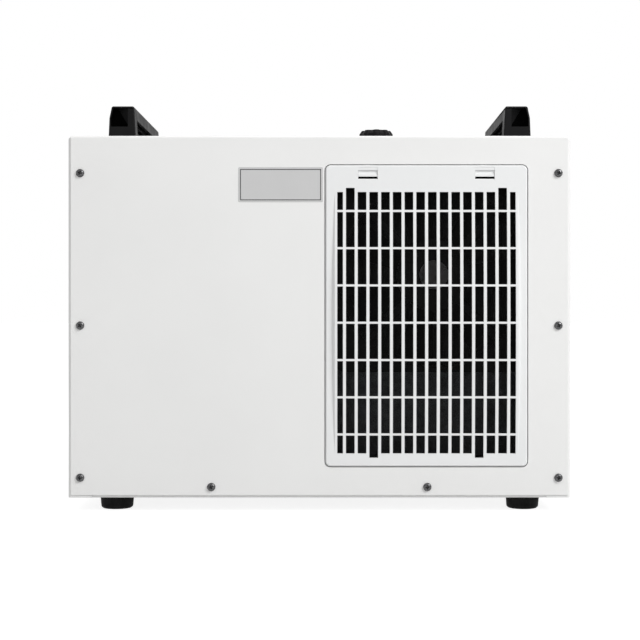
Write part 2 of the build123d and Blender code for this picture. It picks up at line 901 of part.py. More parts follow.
# Filler neck: a flange on the cover, a collar above it and a tube down into the tank's lid
neck_bore = neck_radius - neck_wall
collar_top = top + neck_flange + neck_collar
with BuildPart() as filler_neck:
    with BuildSketch(Plane.XY.offset(tank_top)):
        with Locations((cap_x, 0)):
            RegularPolygon(neck_radius, head_sides)
    extrude(amount=collar_top - tank_top)
    with BuildSketch(Plane.XY.offset(top)):
        with Locations((cap_x, 0)):
            Circle(neck_flange_radius)
    extrude(amount=neck_flange)
    with BuildSketch(Plane.XY.offset(tank_top)):
        with Locations((cap_x, 0)):
            RegularPolygon(neck_bore, head_sides)
    extrude(amount=collar_top - tank_top, mode=Mode.SUBTRACT)
save(filler_neck, "filler_neck")

# Fill cap: lobed, with a skirt round the collar, and its seal above the collar
cap_bottom = top + neck_flange + seat_gap
seal_bottom = collar_top + latch_gap
with BuildPart() as fill_cap:
    with BuildSketch(Plane.XY.offset(cap_bottom)):
        with Locations((cap_x, 0)):
            Circle(cap_radius)
            with PolarLocations(lobe_centre, cap_lobes):
                Circle(lobe_radius)
    extrude(amount=top + cap_height - cap_bottom)
    with BuildSketch(Plane.XY.offset(cap_bottom)):
        with Locations((cap_x, 0)):
            Circle(neck_radius + cap_gap)
    extrude(amount=seal_bottom + seal_depth + latch_gap - cap_bottom, mode=Mode.SUBTRACT)
save(fill_cap, "fill_cap")

with BuildPart() as cap_seal:
    with BuildSketch(Plane.XY.offset(seal_bottom)):
        with Locations((cap_x, 0)):
            RegularPolygon(neck_radius, head_sides)
            RegularPolygon(neck_bore, head_sides, mode=Mode.SUBTRACT)
    extrude(amount=seal_depth)
save(cap_seal, "cap_seal")

# Fan frame: a ring on a square rear plate, with four struts that hold the motor in front
fan_front = ledge_back - fan_set_back
fan_rear = fan_front - fan_depth
motor_rear = fan_front - motor_depth
with BuildPart() as fan_frame:
    with BuildSketch(Plane.XZ.offset(fan_front)):
        with Locations((fan_x, fan_z)):
            Circle(fan_bore + fan_wall)
            Circle(fan_bore, mode=Mode.SUBTRACT)
    extrude(amount=-fan_depth)
    with BuildSketch(Plane.XZ.offset(fan_rear + fan_plate)):
        with Locations((fan_x, fan_z)):
            RectangleRounded(fan_size, fan_size, 3 * fan_plate)
            Circle(fan_bore, mode=Mode.SUBTRACT)
    extrude(amount=-fan_plate)
    with BuildSketch(Plane.XZ.offset(fan_front)):
        with Locations((fan_x, fan_z)):
            with Locations(Rotation(0, 0, strut_angle), Rotation(0, 0, -strut_angle)):
                Rectangle(2 * fan_bore + fan_wall, strut_width)
    extrude(amount=-strut_depth)
    with BuildSketch(Plane.XZ.offset(fan_front)):
        with Locations((fan_x, fan_z)):
            Circle(motor_radius)
    extrude(amount=-motor_depth)
    with BuildSketch(Plane.XZ.offset(motor_rear)):
        with Locations((fan_x, fan_z)):
            Circle(rotor_shaft + shaft_gap)
    extrude(amount=shaft_length + rotor_gap, mode=Mode.SUBTRACT)
save(fan_frame, "fan_frame")

# Fan rotor: a hub on its shaft, with blades that widen outwards
rotor_face = motor_rear - rotor_gap
rotor_y = -(rotor_face - rotor_depth / 2)
blade_root = rotor_hub - blade_thickness
blade_lean = math.radians(blade_pitch)
with BuildPart() as fan_rotor:
    with BuildSketch(Plane.XZ.offset(rotor_face)):
        with Locations((fan_x, fan_z)):
            Circle(rotor_hub)
    extrude(amount=-rotor_depth)
    for blade in range(blades):
        turn = 2 * math.pi * blade / blades
        outward = Vector(math.cos(turn), 0, math.sin(turn))
        around = Vector(-math.sin(turn), 0, math.cos(turn))
        along = around * math.cos(blade_lean) + Vector(0, math.sin(blade_lean), 0)
        face = Plane(
            origin=Vector(fan_x, rotor_y, fan_z), x_dir=outward, z_dir=outward.cross(along)
        )
        with BuildSketch(face):
            Polygon(
                (blade_root, -blade_inner / 2),
                (rotor_radius, -blade_outer / 2),
                (rotor_radius, blade_outer / 2),
                (blade_root, blade_inner / 2),
                align=None,
            )
        extrude(amount=blade_thickness / 2, both=True)
    with BuildSketch(Plane.XZ.offset(rotor_face)):
        with Locations((fan_x, fan_z)):
            Circle(rotor_shaft)
    extrude(amount=shaft_length)
save(fan_rotor, "fan_rotor")

# Shroud: a shallow pan with the fan's bore, open towards the condenser
duct_x = (duct_left + duct_right) / 2
duct_z = (duct_bottom + duct_top) / 2
duct_width = duct_right - duct_left
duct_height = duct_top - duct_bottom
duct_rear = fan_rear - duct_depth
with BuildPart() as fan_shroud:
    with BuildSketch(Plane.XZ.offset(fan_rear)):
        with Locations((duct_x, duct_z)):
            Rectangle(duct_width, duct_height)
    extrude(amount=-duct_depth)
    offset(amount=-well_sheet, openings=fan_shroud.faces().sort_by(Axis.Y)[-1])
    with BuildSketch(Plane.XZ.offset(fan_rear)):
        with Locations((fan_x, fan_z)):
            Circle(fan_bore)
    extrude(amount=-well_sheet, mode=Mode.SUBTRACT)
save(fan_shroud, "fan_shroud")

# Condenser: a finned core between two end plates that stand on the tray
condenser_rear = duct_rear - condenser_depth
fin_count = int((duct_width - 4 * pan_sheet) // fin_pitch)
condensate_z = duct_bottom + condensate_rise
discharge_x = compressor_x + port_offset
discharge_y = compressor_y - discharge_near
discharge_z = duct_top - discharge_drop
with BuildPart() as condenser:
    with BuildSketch(Plane.XZ.offset(duct_rear)):
        with Locations((duct_x, duct_z)):
            Rectangle(duct_width, duct_height)
        for side in (duct_left, duct_right):
            with Locations((side, floor)):
                Rectangle(
                    pan_sheet,
                    duct_top - floor,
                    align=(Align.MIN if side == duct_left else Align.MAX, Align.MIN),
                )
    extrude(amount=-condenser_depth)
    with BuildSketch(Plane.XZ.offset(duct_rear)):
        with Locations((duct_x, duct_z)):
            with GridLocations(fin_pitch, 0, fin_count, 1):
                Rectangle(fin_slot, duct_height - 2 * fin_pitch)
    extrude(amount=-fin_depth, mode=Mode.SUBTRACT)
    with BuildSketch(Plane.XZ.offset(condenser_rear)):
        with Locations((discharge_x, discharge_z), (drier_x, condensate_z)):
            RegularPolygon(line_radius, hole_sides)
    extrude(amount=-hose_socket / 2)
save(condenser, "condenser")

# Water tank, open at the top, with stubs for the return and the drain and a port for the pump
tank_x = (tank_left + tank_right) / 2
tank_y = (tank_near + tank_far) / 2
tank_length = tank_right - tank_left
tank_depth = tank_far - tank_near
with BuildPart() as tank:
    with BuildSketch(Plane.XY.offset(floor)) as tank_plan:
        with Locations((tank_x, tank_y)):
            Rectangle(tank_length, tank_depth)
        chamfer(tank_plan.vertices(), length=tank_corner / 2)
    extrude(amount=tank_top - floor)
    offset(amount=-tank_wall, openings=tank.faces().sort_by(Axis.Z)[-1])
    with BuildSketch(Plane.YZ.offset(tank_left)):
        with Locations((inlet_y, inlet_z)):
            RegularPolygon(barb_radius, tube_sides)
        with Locations((drain_y, drain_z)):
            RegularPolygon(drain_barb_radius, tube_sides)
        with Locations(*gauge_ports):
            RegularPolygon(gauge_barb_radius, hole_sides)
    extrude(amount=hose_relief - hose_socket)
    with BuildSketch(Plane.YZ.offset(tank_left + tank_wall)):
        with Locations((inlet_y, inlet_z), (outlet_y, pump_z)):
            RegularPolygon(drain_barb_radius, hole_sides)
        with Locations((drain_y, drain_z)):
            RegularPolygon(line_radius, hole_sides)
    extrude(amount=-hose_socket - tank_wall, mode=Mode.SUBTRACT)
save(tank, "tank")

with BuildPart() as tank_lid:
    with BuildSketch(Plane.XY.offset(tank_top)) as lid_plan:
        with Locations((tank_x, tank_y)):
            Rectangle(tank_length, tank_depth)
        chamfer(lid_plan.vertices(), length=tank_corner / 2)
        with Locations((cap_x, 0)):
            RegularPolygon(neck_radius + latch_gap, head_sides, mode=Mode.SUBTRACT)
        with Locations((suction_x, refrigerant_y), (liquid_x, refrigerant_y)):
            RegularPolygon(line_radius + latch_gap, hole_sides, mode=Mode.SUBTRACT)
    extrude(amount=lid_sheet)
save(tank_lid, "tank_lid")

# Evaporator: a hollow plate that hangs in the water on its two refrigerant stubs
stub_top = tank_top + lid_sheet + stub_height
with BuildPart() as evaporator_plate:
    with BuildSketch(Plane.XZ.offset(-refrigerant_y)):
        with Locations((evaporator_left, evaporator_bottom)):
            Rectangle(
                evaporator_right - evaporator_left,
                evaporator_height,
                align=(Align.MIN, Align.MIN),
            )
    extrude(amount=evaporator_sheet / 2, both=True)
    with BuildSketch(Plane.XY.offset(evaporator_bottom + evaporator_height)):
        with Locations((suction_x, refrigerant_y), (liquid_x, refrigerant_y)):
            RegularPolygon(line_radius, hole_sides)
    extrude(amount=stub_top - evaporator_bottom - evaporator_height)
save(evaporator_plate, "evaporator_plate")

# Compressor: a welded shell on a base plate, with its stubs on top
shell_bottom = floor + mount_height + base_sheet
suction_port_x = compressor_x - port_offset
mount_spacing = base_plate - 2 * mount_inset
with BuildPart() as compressor:
    with BuildSketch(Plane.XY.offset(floor + mount_height)) as base_plan:
        with Locations((compressor_x, compressor_y)):
            Rectangle(base_plate, base_plate)
            chamfer(base_plan.vertices(), length=tank_corner / 2)
            with GridLocations(mount_spacing, mount_spacing, 2, 2):
                RegularPolygon(mount_neck_radius + latch_gap, hole_sides, mode=Mode.SUBTRACT)
    extrude(amount=base_sheet)
    with BuildSketch(Plane.XY.offset(shell_bottom)):
        with Locations((compressor_x, compressor_y)):
            Circle(compressor_radius)
    extrude(amount=compressor_height)
    shell_top = compressor.faces().sort_by(Axis.Z)[-1]
    chamfer(shell_top.edges(), length=compressor_radius / 4, length2=compressor_radius / 3)
    with BuildSketch(Plane.XY.offset(shell_bottom + compressor_height)):
        with Locations((suction_port_x, refrigerant_y), (discharge_x, discharge_y)):
            RegularPolygon(line_radius, hole_sides)
    extrude(amount=stub_height, both=True)
save(compressor, "compressor")

with BuildPart() as compressor_mounts:
    for low, high, radius in (
        (floor, floor + mount_height, mount_radius),
        (floor + mount_height, shell_bottom + mount_lip, mount_neck_radius),
    ):
        with BuildSketch(Plane.XY.offset(low)):
            with Locations((compressor_x, compressor_y)):
                with GridLocations(mount_spacing, mount_spacing, 2, 2):
                    RegularPolygon(radius, hole_sides)
        extrude(amount=high - low)
save(compressor_mounts, "compressor_mounts")

with BuildPart() as terminal_cover:
    with BuildSketch(Plane.XY.offset(shell_bottom + compressor_height / 3)):
        with Locations((compressor_x + compressor_radius - terminal_bite, compressor_y)):
            Rectangle(terminal_depth, terminal_width, align=(Align.MIN, Align.CENTER))
        with Locations((compressor_x, compressor_y)):
            Circle(compressor_radius + latch_gap, mode=Mode.SUBTRACT)
    extrude(amount=terminal_height)
    fillet(terminal_cover.edges().filter_by(Axis.Z).group_by(Axis.X)[-1], radius=fold_radius)
save(terminal_cover, "terminal_cover")

# Pump: motor, volute and foot, with its nose on the tank's port and its outlet upwards
pump_nose_x = tank_left - pump_nose
volute_x = pump_nose_x - volute_width / 2
hose_start_z = pump_z + volute_radius + hose_gap + volute_clearance
with BuildPart() as pump:
    for start, length, radius in (
        (tank_left, pump_nose, pump_nose_radius),
        (pump_nose_x, volute_width, volute_radius),
        (pump_nose_x - volute_width, pump_motor_length, pump_motor_radius),
    ):
        with BuildSketch(Plane.YZ.offset(start)):
            with Locations((outlet_y, pump_z)):
                RegularPolygon(radius, head_sides)
        extrude(amount=-length)
    chamfer(pump.faces().sort_by(Axis.X)[0].edges(), length=pump_motor_radius / 6)
    with BuildSketch(Plane.XY.offset(floor)):
        with Locations((pump_nose_x - volute_width - pump_motor_length / 2, outlet_y)):
            Rectangle(pump_foot_length, pump_foot_width)
    extrude(amount=pump_z - floor - pump_motor_radius / 2)
    with BuildSketch(Plane.XY.offset(pump_z)):
        with Locations((volute_x, outlet_y)):
            RegularPolygon(barb_radius, tube_sides)
    extrude(amount=hose_start_z + hose_socket - hose_relief - pump_z)
save(pump, "pump")


def hose(points, bend, radius, socket_radius, sides=tube_sides):
    # A bent or straight tube along the points, with a socket at each end for what it slips over.
    with BuildPart() as tube:
        with BuildLine() as route:
            if len(points) > 2:
                FilletPolyline(*points, radius=bend)
            else:
                Line(*points)
        line = route.line
        start = Plane(origin=line @ 0, z_dir=line % 0)
        end = Plane(origin=line @ 1, z_dir=line % 1)
        with BuildSketch(start):
            RegularPolygon(radius, sides)
        sweep()
        if socket_radius:
            with BuildSketch(start):
                RegularPolygon(socket_radius, sides)
            extrude(amount=hose_socket, mode=Mode.SUBTRACT)
            with BuildSketch(end):
                RegularPolygon(socket_radius, sides)
            extrude(amount=-hose_socket, mode=Mode.SUBTRACT)
    return tube


# The hoses end over the barbs of the rear fittings
hose_end_x = nut_height - panel_inside + barb_length - hose_socket + hose_relief
outlet_hose = hose(
    [
        (volute_x, outlet_y, hose_start_z),
        (volute_x, outlet_y, outlet_z),
        (hose_end_x, outlet_y, outlet_z),
    ],
    hose_bend,
    hose_radius,
    barb_radius + hose_gap,
)
save(outlet_hose, "outlet_hose")

return_hose = hose(
    [(hose_end_x, inlet_y, inlet_z), (tank_left - hose_relief, inlet_y, inlet_z)],
    hose_bend,
    hose_radius,
    barb_radius + hose_gap,
)
save(return_hose, "return_hose")

drain_hose = hose(
    [(hose_end_x, drain_y, drain_z), (tank_left - hose_relief, drain_y, drain_z)],
    hose_bend,
    drain_hose_radius,
    drain_barb_radius + hose_gap,
)
save(drain_hose, "drain_hose")

# Refrigerant lines, brazed end to end with the stubs of what they join
shell_port_z = shell_bottom + compressor_height + stub_height
condenser_port_y = -condenser_rear + hose_socket / 2
discharge_line = hose(
    [
        (discharge_x, discharge_y, shell_port_z),
        (discharge_x, discharge_y, discharge_z),
        (discharge_x, condenser_port_y, discharge_z),
    ],
    line_bend,
    line_radius,
    0,
    hole_sides,
)
save(discharge_line, "discharge_line")

condensate_line = hose(
    [
        (drier_x, condenser_port_y, condensate_z),
        (drier_x, refrigerant_y, condensate_z),
        (drier_x, refrigerant_y, drier_bottom),
    ],
    line_bend,
    line_radius,
    0,
    hole_sides,
)
save(condensate_line, "condensate_line")

with BuildPart() as filter_drier:
    with BuildSketch(Plane.XY.offset(drier_bottom)):
        with Locations((drier_x, refrigerant_y)):
            RegularPolygon(drier_radius, head_sides)
    extrude(amount=drier_height)
    drier_ends = filter_drier.edges().group_by(Axis.Z)
    chamfer(drier_ends[0] + drier_ends[-1], length=drier_radius / 2)
save(filter_drier, "filter_drier")

liquid_line = hose(
    [
        (drier_x, refrigerant_y, drier_bottom + drier_height),
        (drier_x, refrigerant_y, stub_top + stub_height),
        (liquid_x, refrigerant_y, stub_top + stub_height),
        (liquid_x, refrigerant_y, stub_top),
    ],
    line_bend,
    line_radius,
    0,
    hole_sides,
)
save(liquid_line, "liquid_line")

suction_line = hose(
    [
        (suction_x, refrigerant_y, stub_top),
        (suction_x, refrigerant_y, stub_top + 2 * stub_height),
        (suction_port_x, refrigerant_y, stub_top + 2 * stub_height),
        (suction_port_x, refrigerant_y, shell_port_z),
    ],
    line_bend,
    line_radius,
    0,
    hole_sides,
)
save(suction_line, "suction_line")

# Nut under the cover that holds the filler neck
with BuildPart() as neck_nut:
    with BuildSketch(Plane.XY.offset(top - cover_sheet)):
        with Locations((cap_x, 0)):
            RegularPolygon(neck_flange_radius, 6)
            RegularPolygon(neck_radius + nut_gap, head_sides, mode=Mode.SUBTRACT)
    extrude(amount=-nut_height)
save(neck_nut, "neck_nut")


def fitting(place, flange_depth, outer_length, outer_radius, inner_radius, bore):
    # Bulkhead fitting: thread and hexagon outside the rear panel, shank and barb inside it.
    flange_x = -half_length - flange_depth
    barb_x = nut_height - panel_inside
    with BuildPart() as body:
        with BuildSketch(Plane.YZ.offset(flange_x)):
            with Locations(place):
                RegularPolygon(nut_radius, 6)
        extrude(amount=flange_depth)
        with BuildSketch(Plane.YZ.offset(flange_x)):
            with Locations(place):
                Circle(outer_radius)
        extrude(amount=-outer_length)
        for start, end, radius, sides in (
            (-half_length, barb_x, thread_radius, hole_sides),
            (barb_x, barb_x + barb_length, inner_radius, tube_sides),
        ):
            with BuildSketch(Plane.YZ.offset(start)):
                with Locations(place):
                    RegularPolygon(radius, sides)
            extrude(amount=end - start)
        with BuildSketch(Plane.YZ.offset(flange_x - outer_length)):
            with Locations(place):
                RegularPolygon(bore, tube_sides)
        extrude(amount=barb_x + barb_length - flange_x + outer_length, mode=Mode.SUBTRACT)
    return body


for name, place in (("water_outlet", fittings_at[0]), ("water_inlet", fittings_at[1])):
    threaded = fitting(
        place, fitting_flange, thread_length, thread_radius, barb_radius, drain_barb_radius
    )
    save(threaded, name)

drain_fitting = fitting(
    fittings_at[2],
    drain_flange,
    drain_thread_length,
    drain_thread_radius,
    drain_barb_radius,
    line_radius,
)
save(drain_fitting, "drain_fitting")

with BuildPart() as fitting_nuts:
    with BuildSketch(Plane.YZ.offset(-panel_inside)):
        with Locations(*fittings_at):
            RegularPolygon(nut_radius, 6)
            RegularPolygon(thread_radius + nut_gap, hole_sides, mode=Mode.SUBTRACT)
    extrude(amount=nut_height)
save(fitting_nuts, "fitting_nuts")

# Drain cap over the fitting's thread, with its washer between the two
drain_open_x = -half_length - drain_flange - seat_gap
washer_x = -half_length - drain_flange - drain_thread_length - latch_gap
cap_floor_x = washer_x - drain_washer_depth - latch_gap
with BuildPart() as drain_cap:
    with BuildSketch(Plane.YZ.offset(cap_floor_x - drain_cap_wall)):
        with Locations(fittings_at[2]):
            RegularPolygon(drain_cap_radius, drain_cap_sides)
    extrude(amount=drain_open_x - cap_floor_x + drain_cap_wall)
    chamfer(drain_cap.faces().sort_by(Axis.X)[0].edges(), length=drain_cap_wall / 2)
    with BuildSketch(Plane.YZ.offset(cap_floor_x)):
        with Locations(fittings_at[2]):
            Circle(drain_thread_radius + cap_gap)
    extrude(amount=drain_open_x - cap_floor_x, mode=Mode.SUBTRACT)
save(drain_cap, "drain_cap")

with BuildPart() as drain_washer:
    with BuildSketch(Plane.YZ.offset(washer_x)):
        with Locations(fittings_at[2]):
            RegularPolygon(drain_thread_radius, tube_sides)
            RegularPolygon(line_radius, tube_sides, mode=Mode.SUBTRACT)
    extrude(amount=-drain_washer_depth)
save(drain_washer, "drain_washer")

# Level gauge: a slotted plate with two end blocks that hold a clear tube and lead to the tank
with BuildPart() as level_gauge:
    with BuildSketch(Plane.YZ.offset(-half_length)):
        with Locations((gauge_y, gauge_z)):
            Rectangle(gauge_width, gauge_height)
            Rectangle(gauge_slot, gauge_tube_length, mode=Mode.SUBTRACT)
    extrude(amount=-gauge_plate)
    chamfer(level_gauge.faces().sort_by(Axis.X)[0].outer_wire().edges(), length=gauge_plate / 3)
    with BuildSketch(Plane.YZ.offset(-half_length)):
        with Locations(*gauge_ports):
            Rectangle(gauge_slot - 2 * hose_gap, gauge_block)
    extrude(amount=gauge_block_depth)
    with BuildSketch(Plane.YZ.offset(gauge_block_depth - half_length)):
        with Locations(*gauge_ports):
            RegularPolygon(gauge_barb_radius, hole_sides)
    extrude(amount=hose_socket - hose_relief)
save(level_gauge, "level_gauge")

with BuildPart() as gauge_tube:
    with BuildSketch(Plane.XY.offset(gauge_z - gauge_tube_length / 2)):
        with Locations((gauge_tube_radius - half_length, gauge_y)):
            RegularPolygon(gauge_tube_radius, head_sides)
    extrude(amount=gauge_tube_length)
save(gauge_tube, "gauge_tube")

with BuildPart() as gauge_hoses:
    gauge_hose_x = gauge_block_depth - half_length + hose_relief
    for y, z in gauge_ports:
        add(
            hose(
                [(gauge_hose_x, y, z), (tank_left - hose_relief, y, z)],
                hose_bend,
                gauge_hose_radius,
                gauge_barb_radius + hose_gap,
                hole_sides,
            ).part
        )
save(gauge_hoses, "gauge_hoses")

# Alarm socket: a round socket with four pins in its recess
alarm_front = -half_length - alarm_flange
with BuildPart() as alarm_socket:
    with BuildSketch(Plane.YZ.offset(alarm_front)):
        with Locations((alarm_y, alarm_z)):
            Circle(alarm_flange_radius)
    extrude(amount=alarm_flange)
    with BuildSketch(Plane.YZ.offset(-half_length)):
        with Locations((alarm_y, alarm_z)):
            RegularPolygon(alarm_radius, hole_sides)
    extrude(amount=alarm_depth)
    with BuildSketch(Plane.YZ.offset(alarm_front)):
        with Locations((alarm_y, alarm_z)):
            Circle(alarm_recess_radius)
    extrude(amount=alarm_recess_depth, mode=Mode.SUBTRACT)
    with BuildSketch(Plane.YZ.offset(alarm_front + alarm_pin_set_back)):
        with Locations((alarm_y, alarm_z)):
            with PolarLocations(alarm_pin_ring, 4, start_angle=45):
                Rectangle(alarm_pin, alarm_pin)
    extrude(amount=alarm_recess_depth - alarm_pin_set_back)
save(alarm_socket, "alarm_socket")

# Power inlet module: wells for the rocker above, the inlet's pins in the middle, the fuses below
power_face = -half_length - power_flange
rocker_z = power_z + rocker_rise
inlet_z_middle = power_z - inlet_drop
fuse_z = power_z - fuse_drop
rocker_well = rocker_pivot + rocker_radius * math.sin(math.radians(rocker_tilt)) + rocker_back
with BuildPart() as power_inlet:
    with BuildSketch(Plane.YZ.offset(power_face)):
        with Locations((power_y, power_z)):
            RectangleRounded(
                power_width + 2 * power_margin, power_height + 2 * power_margin, power_margin
            )
    extrude(amount=power_flange)
    chamfer(power_inlet.faces().sort_by(Axis.X)[0].edges(), length=power_flange / 3)
    with BuildSketch(Plane.YZ.offset(-half_length)):
        with Locations((power_y, power_z)):
            Rectangle(power_width, power_height)
    extrude(amount=power_depth)
    for z, width, height, depth in (
        (rocker_z, rocker_width + 2 * rocker_gap, 2 * (rocker_radius + rocker_gap), rocker_well),
        (inlet_z_middle, inlet_width, inlet_height, inlet_depth),
        (fuse_z, fuse_width + 2 * rocker_gap, fuse_height + 2 * rocker_gap, fuse_depth + rocker_gap),
    ):
        with BuildSketch(Plane.YZ.offset(power_face)):
            with Locations((power_y, z)):
                Rectangle(width, height)
        extrude(amount=depth, mode=Mode.SUBTRACT)
    with BuildSketch(Plane.YZ.offset(power_face + pin_offset)):
        for step, offset_z in ((-1, -pin_offset), (0, pin_offset), (1, -pin_offset)):
            with Locations((power_y + step * pin_spacing, inlet_z_middle + offset_z)):
                Rectangle(pin_width, pin_height)
    extrude(amount=inlet_depth - pin_offset)
save(power_inlet, "power_inlet")

# Rocker: a shallow V in front of a round back, resting tilted on its pivot
lean = math.radians(rocker_tilt)
rocker_plane = Plane(
    origin=(power_face + rocker_pivot, power_y, rocker_z),
    x_dir=(-math.cos(lean), 0, math.sin(lean)),
    z_dir=(0, 1, 0),
)
with BuildPart() as switch_rocker:
    with BuildSketch(rocker_plane):
        Circle(rocker_radius)
        rise = rocker_radius * math.tan(lean)
        Polygon(
            (-rocker_back, -rocker_radius),
            (rocker_front + rise, -rocker_radius),
            (rocker_front, 0),
            (rocker_front + rise, rocker_radius),
            (-rocker_back, rocker_radius),
            align=None,
            mode=Mode.INTERSECT,
        )
    extrude(amount=rocker_width / 2, both=True)
save(switch_rocker, "switch_rocker")

with BuildPart() as fuse_drawer:
    with BuildSketch(Plane.YZ.offset(power_face)):
        with Locations((power_y, fuse_z)):
            Rectangle(fuse_width, fuse_height)
    extrude(amount=fuse_depth)
    with BuildSketch(Plane.YZ.offset(power_face)):
        with Locations((power_y, fuse_z)):
            Rectangle(fuse_width, fuse_height + fuse_lip)
    extrude(amount=-fuse_lip)
    # Notch for a fingernail along the lip's top edge, and the open bay for the two fuses
    with BuildSketch(Plane.YZ.offset(power_face - fuse_lip)):
        with Locations((power_y, fuse_z + fuse_height / 2)):
            Rectangle(fuse_width / 2, fuse_lip)
    extrude(amount=fuse_lip / 2, mode=Mode.SUBTRACT)
    with BuildSketch(Plane.XY.offset(fuse_z + fuse_height / 2)):
        with Locations((power_face + fuse_depth / 2 + fuse_lip, power_y)):
            Rectangle(fuse_depth - 3 * fuse_lip, fuse_width - 2 * fuse_lip)
    extrude(amount=fuse_lip - fuse_height, mode=Mode.SUBTRACT)
save(fuse_drawer, "fuse_drawer")

# Controller: a fascia on the front panel, its display window, its body through the panel
fascia_front = half_length + fascia_depth
button_z = fascia_z - button_drop
button_ys = [button_first_y + index * button_pitch for index in range(4)]
with BuildPart() as controller_fascia:
    with BuildSketch(Plane.YZ.offset(half_length)):
        with Locations((0, fascia_z)):
            RectangleRounded(fascia_width, fascia_height, fascia_radius)
    extrude(amount=fascia_depth)
    chamfer(controller_fascia.faces().sort_by(Axis.X)[-1].edges(), length=fascia_chamfer)
    with BuildSketch(Plane.YZ.offset(half_length)):
        with Locations((0, fascia_z)):
            RectangleRounded(
                fascia_width - 2 * fascia_wall,
                fascia_height - 2 * fascia_wall,
                fascia_radius - fascia_wall,
            )
    extrude(amount=fascia_depth - fascia_wall, mode=Mode.SUBTRACT)
    with BuildSketch(Plane.YZ.offset(fascia_front)):
        with Locations((window_y, fascia_z)):
            Rectangle(window_width + 2 * window_gap, window_height + 2 * window_gap)
    extrude(amount=-window_sheet - 2 * window_gap, mode=Mode.SUBTRACT)
    with BuildSketch(Plane.YZ.offset(fascia_front)):
        with Locations((window_y, fascia_z)):
            Rectangle(window_width - 2 * window_ledge, window_height - 2 * window_ledge)
        with Locations(*[(y, button_z) for y in button_ys]):
            Rectangle(button_width + 2 * button_gap, button_height + 2 * button_gap)
    extrude(amount=-fascia_wall, mode=Mode.SUBTRACT)
save(controller_fascia, "controller_fascia")

with BuildPart() as display_window:
    with BuildSketch(Plane.YZ.offset(fascia_front - 2 * window_gap)):
        with Locations((window_y, fascia_z)):
            Rectangle(window_width, window_height)
    extrude(amount=-window_sheet)
save(display_window, "display_window")

collar_front = fascia_front - fascia_wall - button_gap
body_front = collar_front - button_collar - button_travel - button_gap
with BuildPart() as controller_body:
    with BuildSketch(Plane.YZ.offset(body_front)):
        with Locations((0, fascia_z)):
            Rectangle(body_window_width - 2 * window_gap, body_window_height - 2 * window_gap)
    extrude(amount=half_length - controller_depth - body_front)
save(controller_body, "controller_body")

for name, y in zip(("set", "up", "down", "reset"), button_ys):
    with BuildPart() as button:
        with BuildSketch(Plane.YZ.offset(collar_front)):
            with Locations((y, button_z)):
                Rectangle(button_width + 2 * button_collar, button_height + 2 * button_collar)
        extrude(amount=-button_collar)
        with BuildSketch(Plane.YZ.offset(collar_front)):
            with Locations((y, button_z)):
                Rectangle(button_width, button_height)
        extrude(amount=fascia_front + button_proud - collar_front)
        chamfer(button.faces().sort_by(Axis.X)[-1].edges(), length=button_proud / 3)
    save(button, f"button_{name}")

# Electrical plate on a foot, with its transformer and terminal block
plate_x = (plate_left + plate_right) / 2
with BuildPart() as electrical_plate:
    with BuildSketch(Plane.XY.offset(floor)):
        with Locations((plate_x, plate_y)):
            Rectangle(plate_right - plate_left, pan_sheet, align=(Align.CENTER, Align.MAX))
    extrude(amount=plate_top - floor)
    with BuildSketch(Plane.XY.offset(floor)):
        with Locations((plate_x, plate_y)):
            Rectangle(plate_right - plate_left, plate_foot, align=(Align.CENTER, Align.MIN))
    extrude(amount=pan_sheet)
save(electrical_plate, "electrical_plate")

with BuildPart() as transformer:
    for width, height, depth in (
        (core_width, core_height, core_depth),
        (coil_width, coil_height, coil_depth),
    ):
        with BuildSketch(Plane.XZ.offset(-plate_y)):
            with Locations((transformer_x, transformer_z)):
                Rectangle(width, height)
        extrude(amount=-depth)
save(transformer, "transformer")

with BuildPart() as terminal_block:
    with BuildSketch(Plane.XZ.offset(-plate_y)):
        with Locations((block_x, block_z)):
            Rectangle(block_length, block_height)
    extrude(amount=-block_depth)
    with BuildSketch(Plane.XZ.offset(-plate_y - block_depth)):
        with Locations((block_x, block_z)):
            with GridLocations(block_length / block_ways, block_height / 2, block_ways, 2):
                Rectangle(block_height / 3, block_height / 3)
    extrude(amount=block_depth / 2, mode=Mode.SUBTRACT)
save(terminal_block, "terminal_block")
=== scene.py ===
import json
import math

import bmesh
import bpy
from mathutils import Matrix, Vector


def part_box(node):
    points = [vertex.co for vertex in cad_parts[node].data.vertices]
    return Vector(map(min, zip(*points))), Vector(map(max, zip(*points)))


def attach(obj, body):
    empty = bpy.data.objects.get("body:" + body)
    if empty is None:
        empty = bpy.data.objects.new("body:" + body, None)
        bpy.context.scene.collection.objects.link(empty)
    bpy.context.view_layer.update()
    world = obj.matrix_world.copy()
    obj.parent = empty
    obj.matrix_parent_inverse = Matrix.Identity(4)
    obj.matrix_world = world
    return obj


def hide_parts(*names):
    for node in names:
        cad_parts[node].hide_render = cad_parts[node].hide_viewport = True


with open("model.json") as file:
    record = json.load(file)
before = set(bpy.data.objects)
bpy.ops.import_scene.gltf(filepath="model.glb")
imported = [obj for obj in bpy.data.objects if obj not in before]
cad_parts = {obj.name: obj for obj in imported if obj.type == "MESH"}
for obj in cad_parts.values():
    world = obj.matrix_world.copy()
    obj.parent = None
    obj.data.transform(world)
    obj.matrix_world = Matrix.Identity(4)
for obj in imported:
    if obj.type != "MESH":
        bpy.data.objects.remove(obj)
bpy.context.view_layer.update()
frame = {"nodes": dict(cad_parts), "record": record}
print("frame loaded:", len(frame["nodes"]), "nodes")

slotOfNode = {part["node"]: part["material_slot"] for part in frame["record"]["subparts"]}
bodyOfNode = {
    node: body for body, nodes in frame["record"]["behaviour"]["bodies"].items() for node in nodes
}


def linear(hexColour):
    channels = [int(hexColour[start:start + 2], 16) / 255 for start in (1, 3, 5)]
    return [c / 12.92 if c <= 0.04045 else ((c + 0.055) / 1.055) ** 2.4 for c in channels] + [1.0]


